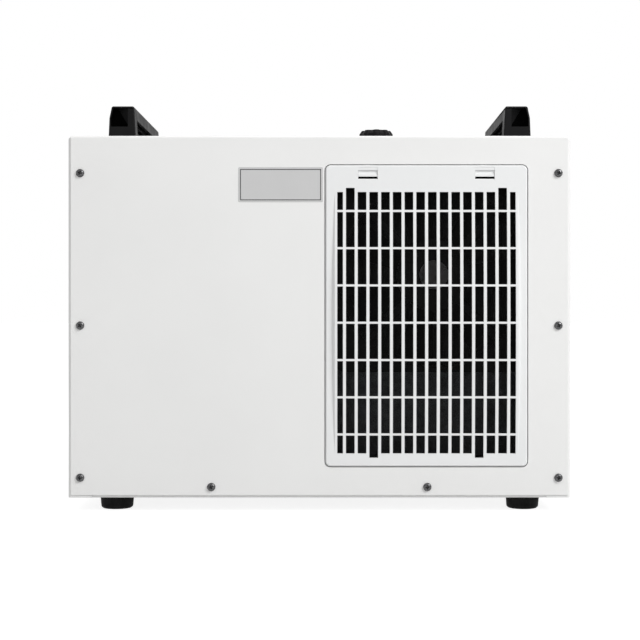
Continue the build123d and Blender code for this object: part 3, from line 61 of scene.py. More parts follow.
def addNode(tree, kind, settings=None, links=None):
    node = tree.nodes.new(kind)
    for key, value in (settings or {}).items():
        if isinstance(key, str) and hasattr(node, key):
            setattr(node, key, value)
        else:
            node.inputs[key].default_value = value
    for key, output in (links or {}).items():
        tree.links.new(output, node.inputs[key])
    return node


# Camera, level and square to the long side, as the photograph was taken
cameraView = {
    "place": (0.0215, -1.745, 0.2269),
    "lens": 78.02,
    "sensor": 36.0,
    "shift": (-0.028, -0.00625),
}
cameraData = bpy.data.cameras.new("camera")
cameraData.lens = cameraView["lens"]
cameraData.sensor_width = cameraView["sensor"]
cameraData.shift_x, cameraData.shift_y = cameraView["shift"]
camera = bpy.data.objects.new("camera", cameraData)
camera.location = cameraView["place"]
camera.rotation_euler = (math.radians(90), 0, 0)
bpy.context.scene.collection.objects.link(camera)
bpy.context.scene.camera = camera
bpy.context.scene.view_settings.view_transform = "Standard"

# Studio: a big soft key from the upper right, a weak fill from the front left, a weak top lamp
# and a white sweep
studio = {
    "keyPlace": (2.0, -2.0, 2.2),
    "keyAim": (0.0, 0.0, 0.2),
    "keySize": 1.6,
    "keyWatts": 75.0,
    "fillPlace": (-0.6, -3.2, 1.0),
    "fillSize": 2.4,
    "fillWatts": 8.5,
    "topPlace": (0.1, 0.2, 2.6),
    "topAim": (0.1, 0.0, 0.4),
    "topSize": 1.4,
    "topWatts": 11.0,
    "worldLevel": 0.555,
    "floorGlow": 0.86,
    "floorAlbedo": 0.4,
    "floorColour": "#C4C4C4",
    "floorHalf": 40.0,
}


def addLamp(name, place, aim, size, watts):
    lamp = bpy.data.lights.new(name, "AREA")
    lamp.shape = "DISK"
    lamp.size = size
    lamp.energy = watts
    holder = bpy.data.objects.new(name, lamp)
    holder.location = place
    holder.rotation_euler = (Vector(aim) - Vector(place)).to_track_quat("-Z", "Y").to_euler()
    bpy.context.scene.collection.objects.link(holder)


addLamp("key", studio["keyPlace"], studio["keyAim"], studio["keySize"], studio["keyWatts"])
addLamp("fill", studio["fillPlace"], studio["keyAim"], studio["fillSize"], studio["fillWatts"])
addLamp("top", studio["topPlace"], studio["topAim"], studio["topSize"], studio["topWatts"])


def seenDirectly(tree):
    # One where the eye, a reflection or a clear piece looks straight at the background
    paths = addNode(tree, "ShaderNodeLightPath")
    seen = addNode(tree, "ShaderNodeMath", {"operation": "ADD", "use_clamp": True},
                   {0: paths.outputs["Is Camera Ray"], 1: paths.outputs["Is Glossy Ray"]})
    seen = addNode(tree, "ShaderNodeMath", {"operation": "ADD", "use_clamp": True},
                   {0: seen.outputs[0], 1: paths.outputs["Is Transmission Ray"]})
    return seen.outputs[0]


world = bpy.data.worlds.new("white sweep")
world.use_nodes = True
bpy.context.scene.world = world
sky = world.node_tree
sky.nodes.clear()
level = addNode(sky, "ShaderNodeMapRange", {"To Min": studio["worldLevel"], "To Max": 1.0},
                {"Value": seenDirectly(sky)})
glow = addNode(sky, "ShaderNodeBackground", {"Color": linear("#FFFFFF")},
               {"Strength": level.outputs["Result"]})
addNode(sky, "ShaderNodeOutputWorld", None, {"Surface": glow.outputs[0]})


def floorMaterial():
    material = bpy.data.materials.new("white sweep paper")
    material.use_nodes = True
    tree = material.node_tree
    tree.nodes.clear()
    # seen directly it glows nearly white and shows the light cast on it, so it keeps shadows
    own = addNode(tree, "ShaderNodeEmission",
                  {"Color": linear("#FFFFFF"), "Strength": studio["floorGlow"]})
    albedo = studio["floorAlbedo"]
    lit = addNode(tree, "ShaderNodeBsdfDiffuse", {"Color": (albedo, albedo, albedo, 1.0)})
    both = addNode(tree, "ShaderNodeAddShader", None, {0: own.outputs[0], 1: lit.outputs[0]})
    plain = addNode(tree, "ShaderNodeBsdfDiffuse", {"Color": linear(studio["floorColour"])})
    choice = addNode(tree, "ShaderNodeMixShader", None,
                     {0: seenDirectly(tree), 1: plain.outputs[0], 2: both.outputs[0]})
    addNode(tree, "ShaderNodeOutputMaterial", None, {"Surface": choice.outputs[0]})
    return material


def addObject(name, mesh):
    piece = bpy.data.objects.new(name, mesh)
    bpy.context.scene.collection.objects.link(piece)
    return piece


half = studio["floorHalf"]
floorMesh = bpy.data.meshes.new("floor")
floorMesh.from_pydata([(-half, -half, 0), (half, -half, 0), (half, half, 0), (-half, half, 0)],
                      [], [(0, 1, 2, 3)])
floorMesh.materials.append(floorMaterial())
addObject("floor", floorMesh)
print("studio ready")

# Finishes, one entry for each of the record's slots. Patch and grain sizes are in millimetres.
finishes = {
    # steel sheet, sprayed with polyester powder and baked: satin with a faint orange peel
    "casing_paint": {"name": "white powder coat", "colour": "#E7E7E6", "shade": "#E2E2E1",
                     "patchMm": 90, "grainMm": 1.4, "grainDepthMm": 0.012, "rough": (0.34, 0.42)},
    # ABS moulded in a lightly spark-eroded tool: a little bluer and softer than the paint
    "moulded_white": {"name": "moulded white ABS", "colour": "#E4E5E5", "shade": "#E0E1E1",
                      "patchMm": 60, "grainMm": 0.6, "grainDepthMm": 0.01, "rough": (0.42, 0.5)},
    # glass-filled nylon: near black, with a dry, slightly uneven surface
    "moulded_black": {"name": "moulded black nylon", "colour": "#060607", "shade": "#09090A",
                      "specular": 0.12, "patchMm": 22, "grainMm": 0.7, "grainDepthMm": 0.02,
                      "rough": (0.42, 0.58)},
    # painted shade: the same nylon made dead black and nearly without reflection, laid in the
    # handles' deep pockets and on the plate behind the latch slits
    "painted_shade_black": {"name": "black nylon painted as shade", "colour": "#020202", "shade": "#040404",
                     "specular": 0.02, "patchMm": 9, "grainMm": 0.9, "grainDepthMm": 0.03,
                     "rough": (0.7, 0.85)},
    # nylon thread, woven plain and welded into a moulded rim
    "gauze_black": {"name": "woven nylon gauze", "colour": "#070707", "shade": "#0B0B0B",
                    "specular": 0.1, "patchMm": 12, "grainMm": 0.5, "grainDepthMm": 0.02,
                    "rough": (0.5, 0.62)},
    # moulded nitrile rubber: dull, dusted a little grey
    "foot_rubber": {"name": "moulded nitrile rubber", "colour": "#060606", "shade": "#0C0C0C",
                    "specular": 0.15, "patchMm": 9, "grainMm": 0.8, "grainDepthMm": 0.03,
                    "rough": (0.62, 0.78)},
    # plasticised PVC tube: milky where it is thick
    "clear_hose": {"name": "clear PVC hose", "colour": "#DDE3E4", "shade": "#D2D9DB",
                   "patchMm": 14, "grainMm": 2.5, "grainDepthMm": 0.02, "rough": (0.16, 0.26),
                   "transmission": 0.55, "ior": 1.53},
    # moulded EPDM ring: matt black
    "seal_rubber": {"name": "moulded EPDM", "colour": "#111112", "shade": "#191919",
                    "patchMm": 5, "grainMm": 0.6, "grainDepthMm": 0.02, "rough": (0.6, 0.72)},
    # headed steel wire, zinc plated: a mirror darkened to grey and patched darker, as painted
    # reflection of dark surroundings
    "screw_steel": {"name": "passivated zinc plate", "colour": "#6C6C6D", "shade": "#303031",
                    "patchMm": 2.2, "grainMm": 0.5, "grainDepthMm": 0.008, "rough": (0.16, 0.3),
                    "metallic": 1.0},
    # painted shade: the same plate made near black in the driver's cross, where the light doesn't
    # reach
    "recess_painted_shade": {"name": "screw recess painted as shade", "colour": "#101112", "shade": "#1B1C1D",
                     "patchMm": 1.5, "grainMm": 0.4, "grainDepthMm": 0.01, "rough": (0.4, 0.55)},
    # galvanised sheet: dull grey zinc with large soft crystals, its grey darkened as painted shade
    # for the dim inside of the casing
    "zinc_steel": {"name": "galvanised sheet", "colour": "#85888B", "shade": "#6E7175",
                   "patchMm": 7, "grainMm": 1.2, "grainDepthMm": 0.01, "rough": (0.5, 0.66),
                   "metallic": 1.0},
    # 304 sheet, belt-polished along its length: fine lengthwise lines
    "tank_steel": {"name": "brushed stainless steel", "colour": "#BFC0C1", "shade": "#A9ABAD",
                   "patchMm": 3, "grainMm": 0.5, "grainDepthMm": 0.01, "rough": (0.24, 0.4),
                   "metallic": 1.0, "stretch": (0.03, 1.0, 1.0)},
    # pressed steel, dipped in black enamel: glossy, with sags
    "black_shell": {"name": "black enamel", "colour": "#070708", "shade": "#0C0C0D",
                    "specular": 0.3, "patchMm": 30, "grainMm": 4.0, "grainDepthMm": 0.03,
                    "rough": (0.24, 0.34)},
    # thin mill aluminium, pressed into fins: grey, darkened as painted shade for the dim inside of
    # the casing, slightly scuffed
    "fin_aluminium": {"name": "mill aluminium fins", "colour": "#77797B", "shade": "#5E6062",
                      "patchMm": 10, "grainMm": 0.8, "grainDepthMm": 0.02, "rough": (0.5, 0.64),
                      "metallic": 1.0, "ridgeMm": 1.8, "ridgeDepthMm": 0.6},
    # soft-drawn copper tube: warm, tarnished in long patches
    "line_copper": {"name": "drawn copper", "colour": "#C88763", "shade": "#A5643F",
                    "patchMm": 16, "grainMm": 0.9, "grainDepthMm": 0.008, "rough": (0.22, 0.4),
                    "metallic": 1.0},
    # turned brass, nickel flashed: fine rings from the tool, a pale warm yellow
    "fitting_brass": {"name": "turned nickel brass", "colour": "#C9BA93", "shade": "#B3A37A",
                      "patchMm": 5, "grainMm": 0.35, "grainDepthMm": 0.008, "rough": (0.22, 0.34),
                      "metallic": 1.0, "stretch": (1.0, 0.08, 0.08),
                      "ridgeMm": 1.5, "ridgeDepthMm": 0.5, "ridgesBelowX": -0.2942},
    # extruded polycarbonate tube: clear, a little hazed
    "gauge_clear": {"name": "clear polycarbonate", "colour": "#EAF0F1", "shade": "#DFE7E9",
                    "patchMm": 12, "grainMm": 3.0, "grainDepthMm": 0.005, "rough": (0.05, 0.12),
                    "transmission": 0.9, "ior": 1.58},
    # smoked acrylic, flame polished: a dark gloss with faint smears
    "window_dark": {"name": "smoked acrylic", "colour": "#0B0B0E", "shade": "#101014",
                    "patchMm": 18, "grainMm": 6.0, "grainDepthMm": 0.004, "rough": (0.06, 0.16)},
    # ABS moulded with a fine texture: a warm dark grey
    "fascia_grey": {"name": "textured grey ABS", "colour": "#5C5F62", "shade": "#575A5D",
                    "patchMm": 30, "grainMm": 0.5, "grainDepthMm": 0.02, "rough": (0.42, 0.54)},
    # silicone keys: dull, with a soft grey bloom
    "key_grey": {"name": "moulded silicone", "colour": "#B9BDC2", "shade": "#B0B4B9",
                 "patchMm": 6, "grainMm": 0.6, "grainDepthMm": 0.01, "rough": (0.5, 0.62)},
    # phenolic moulding: black-brown with a pressed sheen
    "board_plastic": {"name": "pressed phenolic", "colour": "#201D1B", "shade": "#282421",
                      "patchMm": 12, "grainMm": 1.0, "grainDepthMm": 0.02, "rough": (0.34, 0.48)},
    # stacked silicon-steel laminations, varnished: edge lines close together
    "core_iron": {"name": "varnished laminations", "colour": "#4B4643", "shade": "#2E2A28",
                  "patchMm": 4, "grainMm": 0.9, "grainDepthMm": 0.05, "rough": (0.38, 0.55),
                  "metallic": 0.6, "stretch": (0.05, 1.0, 0.05)},
    # printed and clear-coated aluminium foil: silver grey, smooth
    "label_face": {"name": "silver label foil", "colour": "#C3C3C3", "shade": "#BEBEBE",
                   "patchMm": 25, "grainMm": 0.6, "grainDepthMm": 0.004, "rough": (0.36, 0.44)},
    # the same foil where black ink covers it
    "label_line": {"name": "black label ink", "colour": "#434343", "shade": "#3A3A3A",
                   "patchMm": 10, "grainMm": 0.6, "grainDepthMm": 0.004, "rough": (0.4, 0.5)},
}

# How strongly the patterns are drawn. The wave period is that of a wave texture whose scale is 1.
pattern = {"patchDetail": 3.0, "grainDetail": 2.0, "patchLow": 0.3, "patchHigh": 0.7,
           "grainStrength": 0.6, "ridgeStrength": 0.9, "wavePeriod": 2 * math.pi / 20}


def makeFinish(look):
    material = bpy.data.materials.new(look["name"])
    material.use_nodes = True
    tree = material.node_tree
    tree.nodes.clear()
    place = addNode(tree, "ShaderNodeTexCoord")
    drawn = addNode(tree, "ShaderNodeMapping", {"Scale": look.get("stretch", (1.0, 1.0, 1.0))},
                    {"Vector": place.outputs["Object"]})
    patches = addNode(tree, "ShaderNodeTexNoise",
                      {"Scale": 1000 / look["patchMm"], "Detail": pattern["patchDetail"]},
                      {"Vector": drawn.outputs[0]})
    grain = addNode(tree, "ShaderNodeTexNoise",
                    {"Scale": 1000 / look["grainMm"], "Detail": pattern["grainDetail"]},
                    {"Vector": drawn.outputs[0]})
    # sockets 6 and 7 of a colour mix are its two colours
    colour = addNode(tree, "ShaderNodeMix",
                     {"data_type": "RGBA", 6: linear(look["colour"]), 7: linear(look["shade"])},
                     {0: patches.outputs["Fac"]})
    low, high = look["rough"]
    dullness = addNode(tree, "ShaderNodeMapRange",
                       {"From Min": pattern["patchLow"], "From Max": pattern["patchHigh"],
                        "To Min": low, "To Max": high},
                       {"Value": patches.outputs["Fac"]})
    relief = addNode(tree, "ShaderNodeBump",
                     {"Strength": pattern["grainStrength"],
                      "Distance": look["grainDepthMm"] / 1000},
                     {"Height": grain.outputs["Fac"]})
    if "ridgeMm" in look:
        # fins and threads are too fine for the solids, so they are ridges across their faces
        ridges = addNode(tree, "ShaderNodeTexWave",
                         {"bands_direction": "X",
                          "Scale": pattern["wavePeriod"] * 1000 / look["ridgeMm"]},
                         {"Vector": place.outputs["Object"]})
        height = ridges.outputs["Fac"]
        if "ridgesBelowX" in look:
            # only the threaded length, which lies outside the rear panel
            along = addNode(tree, "ShaderNodeSeparateXYZ", None, {0: place.outputs["Object"]})
            there = addNode(tree, "ShaderNodeMath",
                            {"operation": "LESS_THAN", 1: look["ridgesBelowX"]},
                            {0: along.outputs["X"]})
            height = addNode(tree, "ShaderNodeMath", {"operation": "MULTIPLY"},
                             {0: height, 1: there.outputs[0]}).outputs[0]
        relief = addNode(tree, "ShaderNodeBump",
                         {"Strength": pattern["ridgeStrength"],
                          "Distance": look["ridgeDepthMm"] / 1000},
                         {"Height": height, "Normal": relief.outputs[0]})
    surface = addNode(tree, "ShaderNodeBsdfPrincipled",
                      {"Metallic": look.get("metallic", 0.0),
                       "Transmission Weight": look.get("transmission", 0.0)},
                      {"Base Color": colour.outputs[2], "Roughness": dullness.outputs["Result"],
                       "Normal": relief.outputs[0]})
    if "specular" in look:
        surface.inputs["Specular IOR Level"].default_value = look["specular"]
    if "ior" in look:
        surface.inputs["IOR"].default_value = look["ior"]
    addNode(tree, "ShaderNodeOutputMaterial", None, {"Surface": surface.outputs[0]})
    return material


materials = {slot: makeFinish(look) for slot, look in finishes.items()}
for node, part in frame["nodes"].items():
    for holder in part.material_slots:
        holder.material = materials[slotOfNode[node]]
print("finishes ready:", len(materials))


def meshFrom(shape, name, slots):
    mesh = bpy.data.meshes.new(name)
    for face in shape.faces:
        face.smooth = True
    shape.to_mesh(mesh)
    shape.free()
    for slot in slots:
        mesh.materials.append(materials[slot])
    return mesh


def joinRings(shape, first, second):
    # Quads between two rings that have the same number of corners
    quads = []
    for step in range(len(first)):
        after = (step + 1) % len(first)
        quads.append(shape.faces.new([first[step], first[after], second[after], second[step]]))
    return quads


def turnsRound(count):
    return [2 * math.pi * step / count for step in range(count)]


# Corners closer than this many metres are one, and faces within this many degrees are one
weld = {"within": 0.000005, "flatDegrees": 0.4}


def weldedShape(node):
    # The node's own surface with its corners joined and its flat faces whole
    source = frame["nodes"][node].data
    shape = bmesh.new()
    corners = [shape.verts.new(v.co) for v in source.vertices]
    for polygon in source.polygons:
        shape.faces.new([corners[i] for i in polygon.vertices])
    bmesh.ops.remove_doubles(shape, verts=shape.verts, dist=weld["within"])
    bmesh.ops.dissolve_limit(shape, angle_limit=math.radians(weld["flatDegrees"]),
                             verts=shape.verts, edges=shape.edges)
    return shape


def cutAcross(shape, height):
    # Splits the faces at a height, and takes nothing away
    bmesh.ops.bisect_plane(shape, geom=shape.verts[:] + shape.edges[:] + shape.faces[:],
                           plane_co=(0, 0, height), plane_no=(0, 0, 1))


def islands(node):
    # Lowest and highest corner of each separate solid in a node, in the order of their places
    shape = weldedShape(node)
    left = set(shape.verts)
    found = []
    while left:
        group = [left.pop()]
        for vert in group:
            for edge in vert.link_edges:
                other = edge.other_vert(vert)
                if other in left:
                    left.remove(other)
                    group.append(other)
        found.append([Vector([pick(v.co[axis] for v in group) for axis in range(3)])
                      for pick in (min, max)])
    shape.free()
    return sorted(found, key=lambda pair: tuple(round(c, 4) for c in pair[0]))


def dress(piece, node):
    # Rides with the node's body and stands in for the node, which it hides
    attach(piece, bodyOfNode[node])
    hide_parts(node)


def splitEdges(piece, name, degrees):
    flats = piece.modifiers.new(name, "EDGE_SPLIT")
    flats.split_angle = math.radians(degrees)


def roundEdges(piece, widthMm, segments, sharpDegrees=33):
    # Edges that carry a share of the width are rounded by it, and otherwise all the sharp ones are
    hasShares = "bevel_weight_edge" in piece.data.attributes
    soften = piece.modifiers.new("rounded edges", "BEVEL")
    soften.width = widthMm / 1000
    soften.segments = segments
    soften.limit_method = "WEIGHT" if hasShares else "ANGLE"
    soften.angle_limit = math.radians(sharpDegrees)
    soften.use_clamp_overlap = not hasShares
    evenOut = piece.modifiers.new("even shading", "WEIGHTED_NORMAL")
    evenOut.weight = 100  # the largest faces decide


def shareRadius(shape, innerShare=0.12, sharpDegrees=33, hullWithin=0.0003):
    # The outer corners get the full radius, and those of pockets and ribs a small share of it
    shares = shape.edges.layers.float.new("bevel_weight_edge")
    outside = set()
    for face in shape.faces:
        middle = face.calc_center_median()
        if max((v.co - middle).dot(face.normal) for v in shape.verts) < hullWithin:
            outside.add(face)
    for edge in shape.edges:
        if edge.calc_face_angle(0) > math.radians(sharpDegrees):
            edge[shares] = 1.0 if outside.issuperset(edge.link_faces) else innerShare


# Edge radius of each piece in millimetres, and the number of steps round it
edgeRadii = {
    "filter_panel": (0.45, 2),
    "latch_left": (0.35, 2),
    "latch_right": (0.35, 2),
    "handle_front": (1.75, 4),
    "handle_rear": (1.75, 4),
    "feet": (0.8, 3),
    "fill_cap": (0.9, 3),
    "filler_neck": (0.4, 2),
    "cover": (0.4, 2),
    "front_panel": (0.4, 2),
    "rear_panel": (0.4, 2),
    "base_tray": (0.4, 2),
    "filter_seat": (0.3, 2),
    "fan_frame": (0.4, 2),
    "fan_rotor": (0.4, 2),
    "controller_fascia": (1.0, 3),
    "display_window": (0.3, 2),
    "button_set": (0.4, 3),
    "button_up": (0.4, 3),
    "button_down": (0.4, 3),
    "button_reset": (0.4, 3),
    "power_inlet": (0.5, 2),
    "switch_rocker": (0.5, 3),
    "fuse_drawer": (0.4, 2),
    "alarm_socket": (0.4, 2),
    "water_outlet": (0.4, 2),
    "water_inlet": (0.4, 2),
    "drain_fitting": (0.4, 2),
    "drain_cap": (0.5, 2),
    "level_gauge": (0.6, 2),
}

# End pockets of the handles: their floor slopes up towards the inner upper corner
pocket = {"width": 0.0164, "height": 0.0214, "skin": 0.002, "lean": 0.0044, "depth": 0.012,
          "shallow": 0.0075, "apexShare": 0.78, "tolerance": 0.0002}


def addPocketSlopes(shape, node):
    low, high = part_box(node)
    outward = 1 if low[0] > 0 else -1
    outerX = high[0] if outward > 0 else low[0]
    farX = outerX - outward * (pocket["lean"] + pocket["skin"])
    nearX = farX - outward * pocket["width"]
    topZ = high[2] - pocket["skin"]
    for endY, inward in ((low[1], 1), (high[1], -1)):
        deepY = endY + inward * pocket["depth"]
        apex, heel, crest, root = [shape.verts.new(point) for point in (
            (nearX + outward * pocket["width"] * pocket["apexShare"], deepY, topZ),
            (nearX, deepY, topZ - pocket["height"]),
            (nearX, endY + inward * pocket["shallow"], topZ),
            (nearX, deepY, topZ))]
        faces = [shape.faces.new(corners) for corners in (
            (apex, heel, crest), (apex, crest, root), (crest, heel, root), (apex, root, heel))]
        bmesh.ops.recalc_face_normals(shape, faces=faces)
        # the floor and walls behind the slope take the second slot's dead black as painted shade
        for face in shape.faces:
            reach = [abs(v.co.y - deepY) for v in face.verts]
            if face not in faces and min(reach) < pocket["tolerance"]:
                face.material_index = 1


# The latches: the finger pocket is a tub with a leaning roof and end, and the plate behind the slit
# is painted black as shade
latch = {"lipBottom": 0.0024, "pocketDepth": 0.002, "roof": 0.0017, "rightEnd": 0.0013,
         "leftEnd": 0.0004, "floorRise": 0.0006, "floorLean": 0.0013, "skin": 0.0001,
         "tolerance": 0.0001}


def shapeLatch(shape, node):
    low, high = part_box(node)
    lipBottom = low[2] + latch["lipBottom"]
    cutAcross(shape, lipBottom)
    # the plate below the lip, seen through the slit, takes the second slot's dead black as painted
    # shade
    for face in shape.faces:
        if max(v.co.z for v in face.verts) < lipBottom + latch["tolerance"]:
            face.material_index = 1
    deepY = low[1] + latch["pocketDepth"]
    floor = [v.co for v in shape.verts if abs(v.co.y - deepY) < latch["tolerance"]]
    left, right = min(co.x for co in floor), max(co.x for co in floor)
    bottom, top = min(co.z for co in floor), max(co.z for co in floor)
    corners = ((left, top), (right, top), (right, bottom), (left, bottom))
    back = [shape.verts.new((x, deepY, z)) for x, z in corners]
    rim = [shape.verts.new((x, low[1] + latch["skin"], z)) for x, z in corners]
    tubLeft, tubRight = left + latch["leftEnd"], right - latch["rightEnd"]
    roof = (deepY - latch["skin"], top - latch["roof"])
    sill = (deepY - latch["floorLean"], bottom + latch["floorRise"])
    tub = [shape.verts.new((x, *place)) for x, place in (
        (tubLeft, roof), (tubRight, roof), (tubRight, sill), (tubLeft, sill))]
    faces = [shape.faces.new(back), shape.faces.new(tub)]
    faces += joinRings(shape, back, rim) + joinRings(shape, rim, tub)
    bmesh.ops.recalc_face_normals(shape, faces=faces)


# The cap's lobes taper towards the top, and the valleys between them run over its rim
cap = {"shoulder": 0.0042, "lobeTaper": 0.86, "valleyTaper": 0.8, "rim": 0.0028,
       "lobeDrop": 0.0003, "valleyDrop": 0.0034, "dish": 0.0036, "valleyReach": 0.0192,
       "tolerance": 0.0001}


def shapeCap(shape, node):
    low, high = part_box(node)
    middleX, middleY = (low[0] + high[0]) / 2, (low[1] + high[1]) / 2
    cutAcross(shape, high[2] - cap["shoulder"])
    lid = [face for face in shape.faces
           if min(v.co.z for v in face.verts) > high[2] - cap["tolerance"]]
    outline = []
    for vert in {v for face in lid for v in face.verts}:
        reach = math.hypot(vert.co.x - middleX, vert.co.y - middleY)
        inValley = reach < cap["valleyReach"]
        taper = cap["valleyTaper"] if inValley else cap["lobeTaper"]
        vert.co.x = middleX + (vert.co.x - middleX) * taper
        vert.co.y = middleY + (vert.co.y - middleY) * taper
        outline.append((vert, inValley))
    bmesh.ops.inset_region(shape, faces=lid, thickness=cap["rim"], use_even_offset=False)
    for vert in {v for face in lid for v in face.verts}:
        vert.co.z -= cap["dish"]
    for vert, inValley in outline:
        vert.co.z -= cap["valleyDrop"] if inValley else cap["lobeDrop"]


for node, (widthMm, segments) in edgeRadii.items():
    shape = weldedShape(node)
    slots = [slotOfNode[node]]
    if node.startswith("handle"):
        addPocketSlopes(shape, node)
        shareRadius(shape)
        # the handles' second slot is painted shade for the pocket's floor and walls
        slots.append("painted_shade_black")
    elif node.startswith("latch"):
        shapeLatch(shape, node)
        # the latches' second slot is painted shade for the plate behind the slit
        slots.append("painted_shade_black")
    elif node == "fill_cap":
        shapeCap(shape, node)
    piece = addObject(node + "_finished", meshFrom(shape, node + "_finished", slots))
    roundEdges(piece, widthMm, segments)
    dress(piece, node)
print("edges rounded:", len(edgeRadii))


def turned(shape, profile, around, matrix):
    # Turns a profile of (radius, height) points about the matrix's Z, and a radius of 0 is a point
    rings = []
    for radius, height in profile:
        if radius == 0:
            rings.append([shape.verts.new(matrix @ Vector((0, 0, height)))])
        else:
            rings.append([shape.verts.new(matrix @ Vector((radius * math.cos(turn),
                                                           radius * math.sin(turn), height)))
                          for turn in turnsRound(around)])
    for lower, upper in zip(rings, rings[1:]):
        if len(lower) == len(upper):
            joinRings(shape, lower, upper)
            continue
        for step in range(around):
            after = (step + 1) % around
            if len(lower) == 1:
                shape.faces.new([lower[0], upper[after], upper[step]])
            else:
                shape.faces.new([lower[step], lower[after], upper[0]])


# Cross-recess pan-head screws. Shares are of the head's, the arm's or the shank's own size.
screw = {
    "headRadius": 0.00475,
    "headHeight": 0.0034,
    "edgeHeight": 0.0009,
    "seatShare": 0.94,
    "edgeStart": 0.35,
    "domePower": 0.8,
    "around": 36,
    "domeSteps": 7,
    "armReach": 0.0027,
    "armHalf": 0.00062,
    "armTaper": 0.42,
    "armLeast": 0.6,
    "mouthShare": 1.15,
    "mouthRise": 0.001,
    "heartShare": 1.5,
    "recessDepth": 0.0024,
    "shankRadius": 0.0024,
    "shankAround": 16,
    "tipShare": 0.7,
    "tipStart": 0.93,
    "turnStep": 0.61,
}


def screwHead():
    # Domed head with a tapered cross cut into it, its seat at the origin
    radius, height, edge = screw["headRadius"], screw["headHeight"], screw["edgeHeight"]
    profile = [(0, 0), (radius * screw["seatShare"], 0), (radius, edge * screw["edgeStart"]),
               (radius, edge)]
    for step in range(1, screw["domeSteps"] + 1):
        lean = math.pi / 2 * step / screw["domeSteps"]
        profile.append((radius * math.cos(lean) ** screw["domePower"],
                        edge + (height - edge) * math.sin(lean)))
    profile[-1] = (0, height)
    dome = bmesh.new()
    turned(dome, profile, screw["around"], Matrix())
    head = addObject("headBlank", meshFrom(dome, "headBlank", ["screw_steel", "recess_painted_shade"]))
    cutter = bmesh.new()
    rings = []
    for level, share in ((height + screw["mouthRise"], screw["mouthShare"]),
                         (height - screw["recessDepth"], screw["armTaper"])):
        least = screw["armLeast"]
        reach, arm = screw["armReach"] * share, screw["armHalf"] * (least + (1 - least) * share)
        heart = arm * screw["heartShare"]
        outline = []
        for quarter in range(4):
            spin = Matrix.Rotation(math.radians(90 * quarter), 3, "Z")
            outline += [spin @ Vector(point) for point in
                        ((reach, -arm, level), (reach, arm, level), (heart, heart, level))]
        rings.append([cutter.verts.new(point) for point in outline])
    joinRings(cutter, rings[1], rings[0])
    cutter.faces.new(rings[0])
    cutter.faces.new(list(reversed(rings[1])))
    # the cross's walls and floor take the recess's painted shade
    for face in cutter.faces:
        face.material_index = 1
    cross = addObject("crossCutter", meshFrom(cutter, "crossCutter",
                                              ["screw_steel", "recess_painted_shade"]))
    cut = head.modifiers.new("cross recess", "BOOLEAN")
    cut.operation = "DIFFERENCE"
    cut.solver = "EXACT"
    cut.object = cross
    graph = bpy.context.evaluated_depsgraph_get()
    finished = bpy.data.meshes.new_from_object(head.evaluated_get(graph))
    for spare in (head, cross):
        bpy.data.objects.remove(spare)
    return finished


headMesh = screwHead()


def placeScrews(node, outward):
    # A finished screw for each solid of the node, each turned a little further than the last
    shape = bmesh.new()
    for index, (low, high) in enumerate(islands(node)):
        middle = (low + high) / 2
        axis = outward(middle)
        reach = abs((high - low).dot(axis)) / 2
        seat = middle + axis * (reach - screw["headHeight"])
        spin = Matrix.Rotation(screw["turnStep"] * index, 4, "Z")
        place = Matrix.Translation(seat) @ axis.to_track_quat("Z", "Y").to_matrix().to_4x4() @ spin
        single = bmesh.new()
        single.from_mesh(headMesh)
        single.transform(place)
        lent = bpy.data.meshes.new("lent")
        single.to_mesh(lent)
        single.free()
        shape.from_mesh(lent)
        bpy.data.meshes.remove(lent)
        shankLength = 2 * reach - screw["headHeight"]
        shankRadius = screw["shankRadius"]
        profile = [(0, -shankLength), (shankRadius * screw["tipShare"], -shankLength),
                   (shankRadius, -shankLength * screw["tipStart"]), (shankRadius, 0), (0, 0)]
        turned(shape, profile, screw["shankAround"], place)
    piece = addObject(node + "_finished", meshFrom(shape, node + "_finished",
                                                   ["screw_steel", "recess_painted_shade"]))
    splitEdges(piece, "crisp recess", 40)
    dress(piece, node)


placeScrews("cover_screws", lambda middle: Vector((0, math.copysign(1, middle.y), 0)))
placeScrews("underside_screws", lambda middle: Vector((0, 0, -1)))
print("screws placed")


# Filter gauze: a moulded rim with plain threads laid both ways
gauze = {"rim": 0.0045, "pitch": 0.0012, "threadRadius": 0.0003, "sides": 5, "layer": 0.0003}


def gauzePiece():
    low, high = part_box("filter_gauze")
    shape = bmesh.new()
    rim = gauze["rim"]
    outer = [(low[0], low[2]), (high[0], low[2]), (high[0], high[2]), (low[0], high[2])]
    inner = [(low[0] + rim, low[2] + rim), (high[0] - rim, low[2] + rim),
             (high[0] - rim, high[2] - rim), (low[0] + rim, high[2] - rim)]
    rings = [[shape.verts.new((x, y, z)) for x, z in outline]
             for outline, y in ((outer, low[1]), (outer, high[1]), (inner, high[1]), (inner, low[1]))]
    for ring, following in zip(rings, rings[1:] + rings[:1]):
        joinRings(shape, ring, following)
    middle = (low[1] + high[1]) / 2
    radius = gauze["threadRadius"]
    # upright threads are spaced along axis 0, and level ones along axis 2
    runs = (
        (0, inner[0][0], inner[2][0], inner[0][1], inner[2][1], middle - gauze["layer"]),
        (2, inner[0][1], inner[2][1], inner[0][0], inner[2][0], middle + gauze["layer"]),
    )
    for axis, first, last, start, end, depth in runs:
        count = int((last - first) / gauze["pitch"])
        for index in range(1, count):
            at = first + (last - first) * index / count
            ends = []
            for along in (start, end):
                ring = [(at + radius * math.cos(turn), depth + radius * math.sin(turn))
                        for turn in turnsRound(gauze["sides"])]
                ends.append([shape.verts.new((across, out, along) if axis == 0
                                             else (along, out, across)) for across, out in ring])
            joinRings(shape, *ends)
    bmesh.ops.recalc_face_normals(shape, faces=shape.faces)
    piece = addObject("filter_gauze_finished",
                      meshFrom(shape, "filter_gauze_finished", ["gauze_black"]))
    splitEdges(piece, "crisp rim", 80)
    dress(piece, "filter_gauze")


gauzePiece()
print("gauze strung")


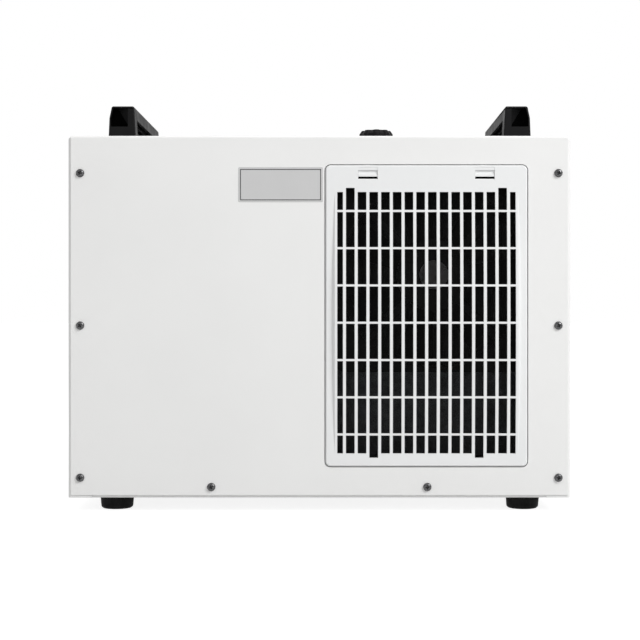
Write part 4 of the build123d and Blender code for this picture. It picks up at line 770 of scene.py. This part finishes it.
def roundedOutline(centreX, centreZ, width, height, radius, y, steps=5):
    # An upright rectangle with round corners
    points = []
    for cornerX, cornerZ, start in ((1, 1, 0), (-1, 1, 90), (-1, -1, 180), (1, -1, 270)):
        for step in range(steps + 1):
            turn = math.radians(start + 90 * step / steps)
            points.append((centreX + cornerX * (width / 2 - radius) + radius * math.cos(turn), y,
                           centreZ + cornerZ * (height / 2 - radius) + radius * math.sin(turn)))
    return points


# Rating plate on the near side, left bare: foil with a printed border
plate = {"centreX": -0.0447, "belowTop": 0.0566, "width": 0.0977, "height": 0.0404,
         "corner": 0.0015, "leastCorner": 0.0006, "margin": 0.0021, "line": 0.0011,
         "thickness": 0.00025, "edge": 0.0001, "sunk": 0.0001}


def ratingPlate():
    low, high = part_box("cover")
    centreZ = high[2] - plate["belowTop"]
    faceY = low[1] - plate["thickness"]
    rings = []
    shape = bmesh.new()
    for inset, y in ((0, low[1] + plate["sunk"]), (0, faceY + plate["edge"]), (plate["edge"], faceY),
                     (plate["margin"], faceY), (plate["margin"] + plate["line"], faceY)):
        outline = roundedOutline(plate["centreX"], centreZ, plate["width"] - 2 * inset,
                                 plate["height"] - 2 * inset,
                                 max(plate["corner"] - inset, plate["leastCorner"]), y)
        rings.append([shape.verts.new(point) for point in outline])
    for outside, inside in zip(rings, rings[1:]):
        # the innermost band is the printed line
        for quad in joinRings(shape, inside, outside):
            quad.material_index = 1 if inside is rings[-1] else 0
    shape.faces.new(list(reversed(rings[-1])))
    shape.faces.new(rings[0])
    bmesh.ops.recalc_face_normals(shape, faces=shape.faces)
    piece = addObject("rating_plate", meshFrom(shape, "rating_plate", ["label_face", "label_line"]))
    splitEdges(piece, "crisp edges", 30)
    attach(piece, "case")


ratingPlate()


# Round plate on the fan motor, bare too
hubPlate = {"radius": 0.017, "thickness": 0.0004, "around": 48, "edgeStart": 0.6,
            "edgeShare": 0.985}


def hubLabel():
    low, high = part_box("fan_rotor")
    centreX, centreZ = (low[0] + high[0]) / 2, (low[2] + high[2]) / 2
    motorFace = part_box("fan_frame")[0][1]
    shape = bmesh.new()
    place = Matrix.Translation((centreX, motorFace, centreZ)) @ Matrix.Rotation(math.pi / 2, 4, "X")
    radius, thick = hubPlate["radius"], hubPlate["thickness"]
    profile = [(0, -thick), (radius, -thick), (radius, thick * hubPlate["edgeStart"]),
               (radius * hubPlate["edgeShare"], thick), (0, thick)]
    turned(shape, profile, hubPlate["around"], place)
    piece = addObject("hub_plate", meshFrom(shape, "hub_plate", ["label_face"]))
    splitEdges(piece, "crisp edge", 30)
    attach(piece, "case")


hubLabel()
print("plates fixed")
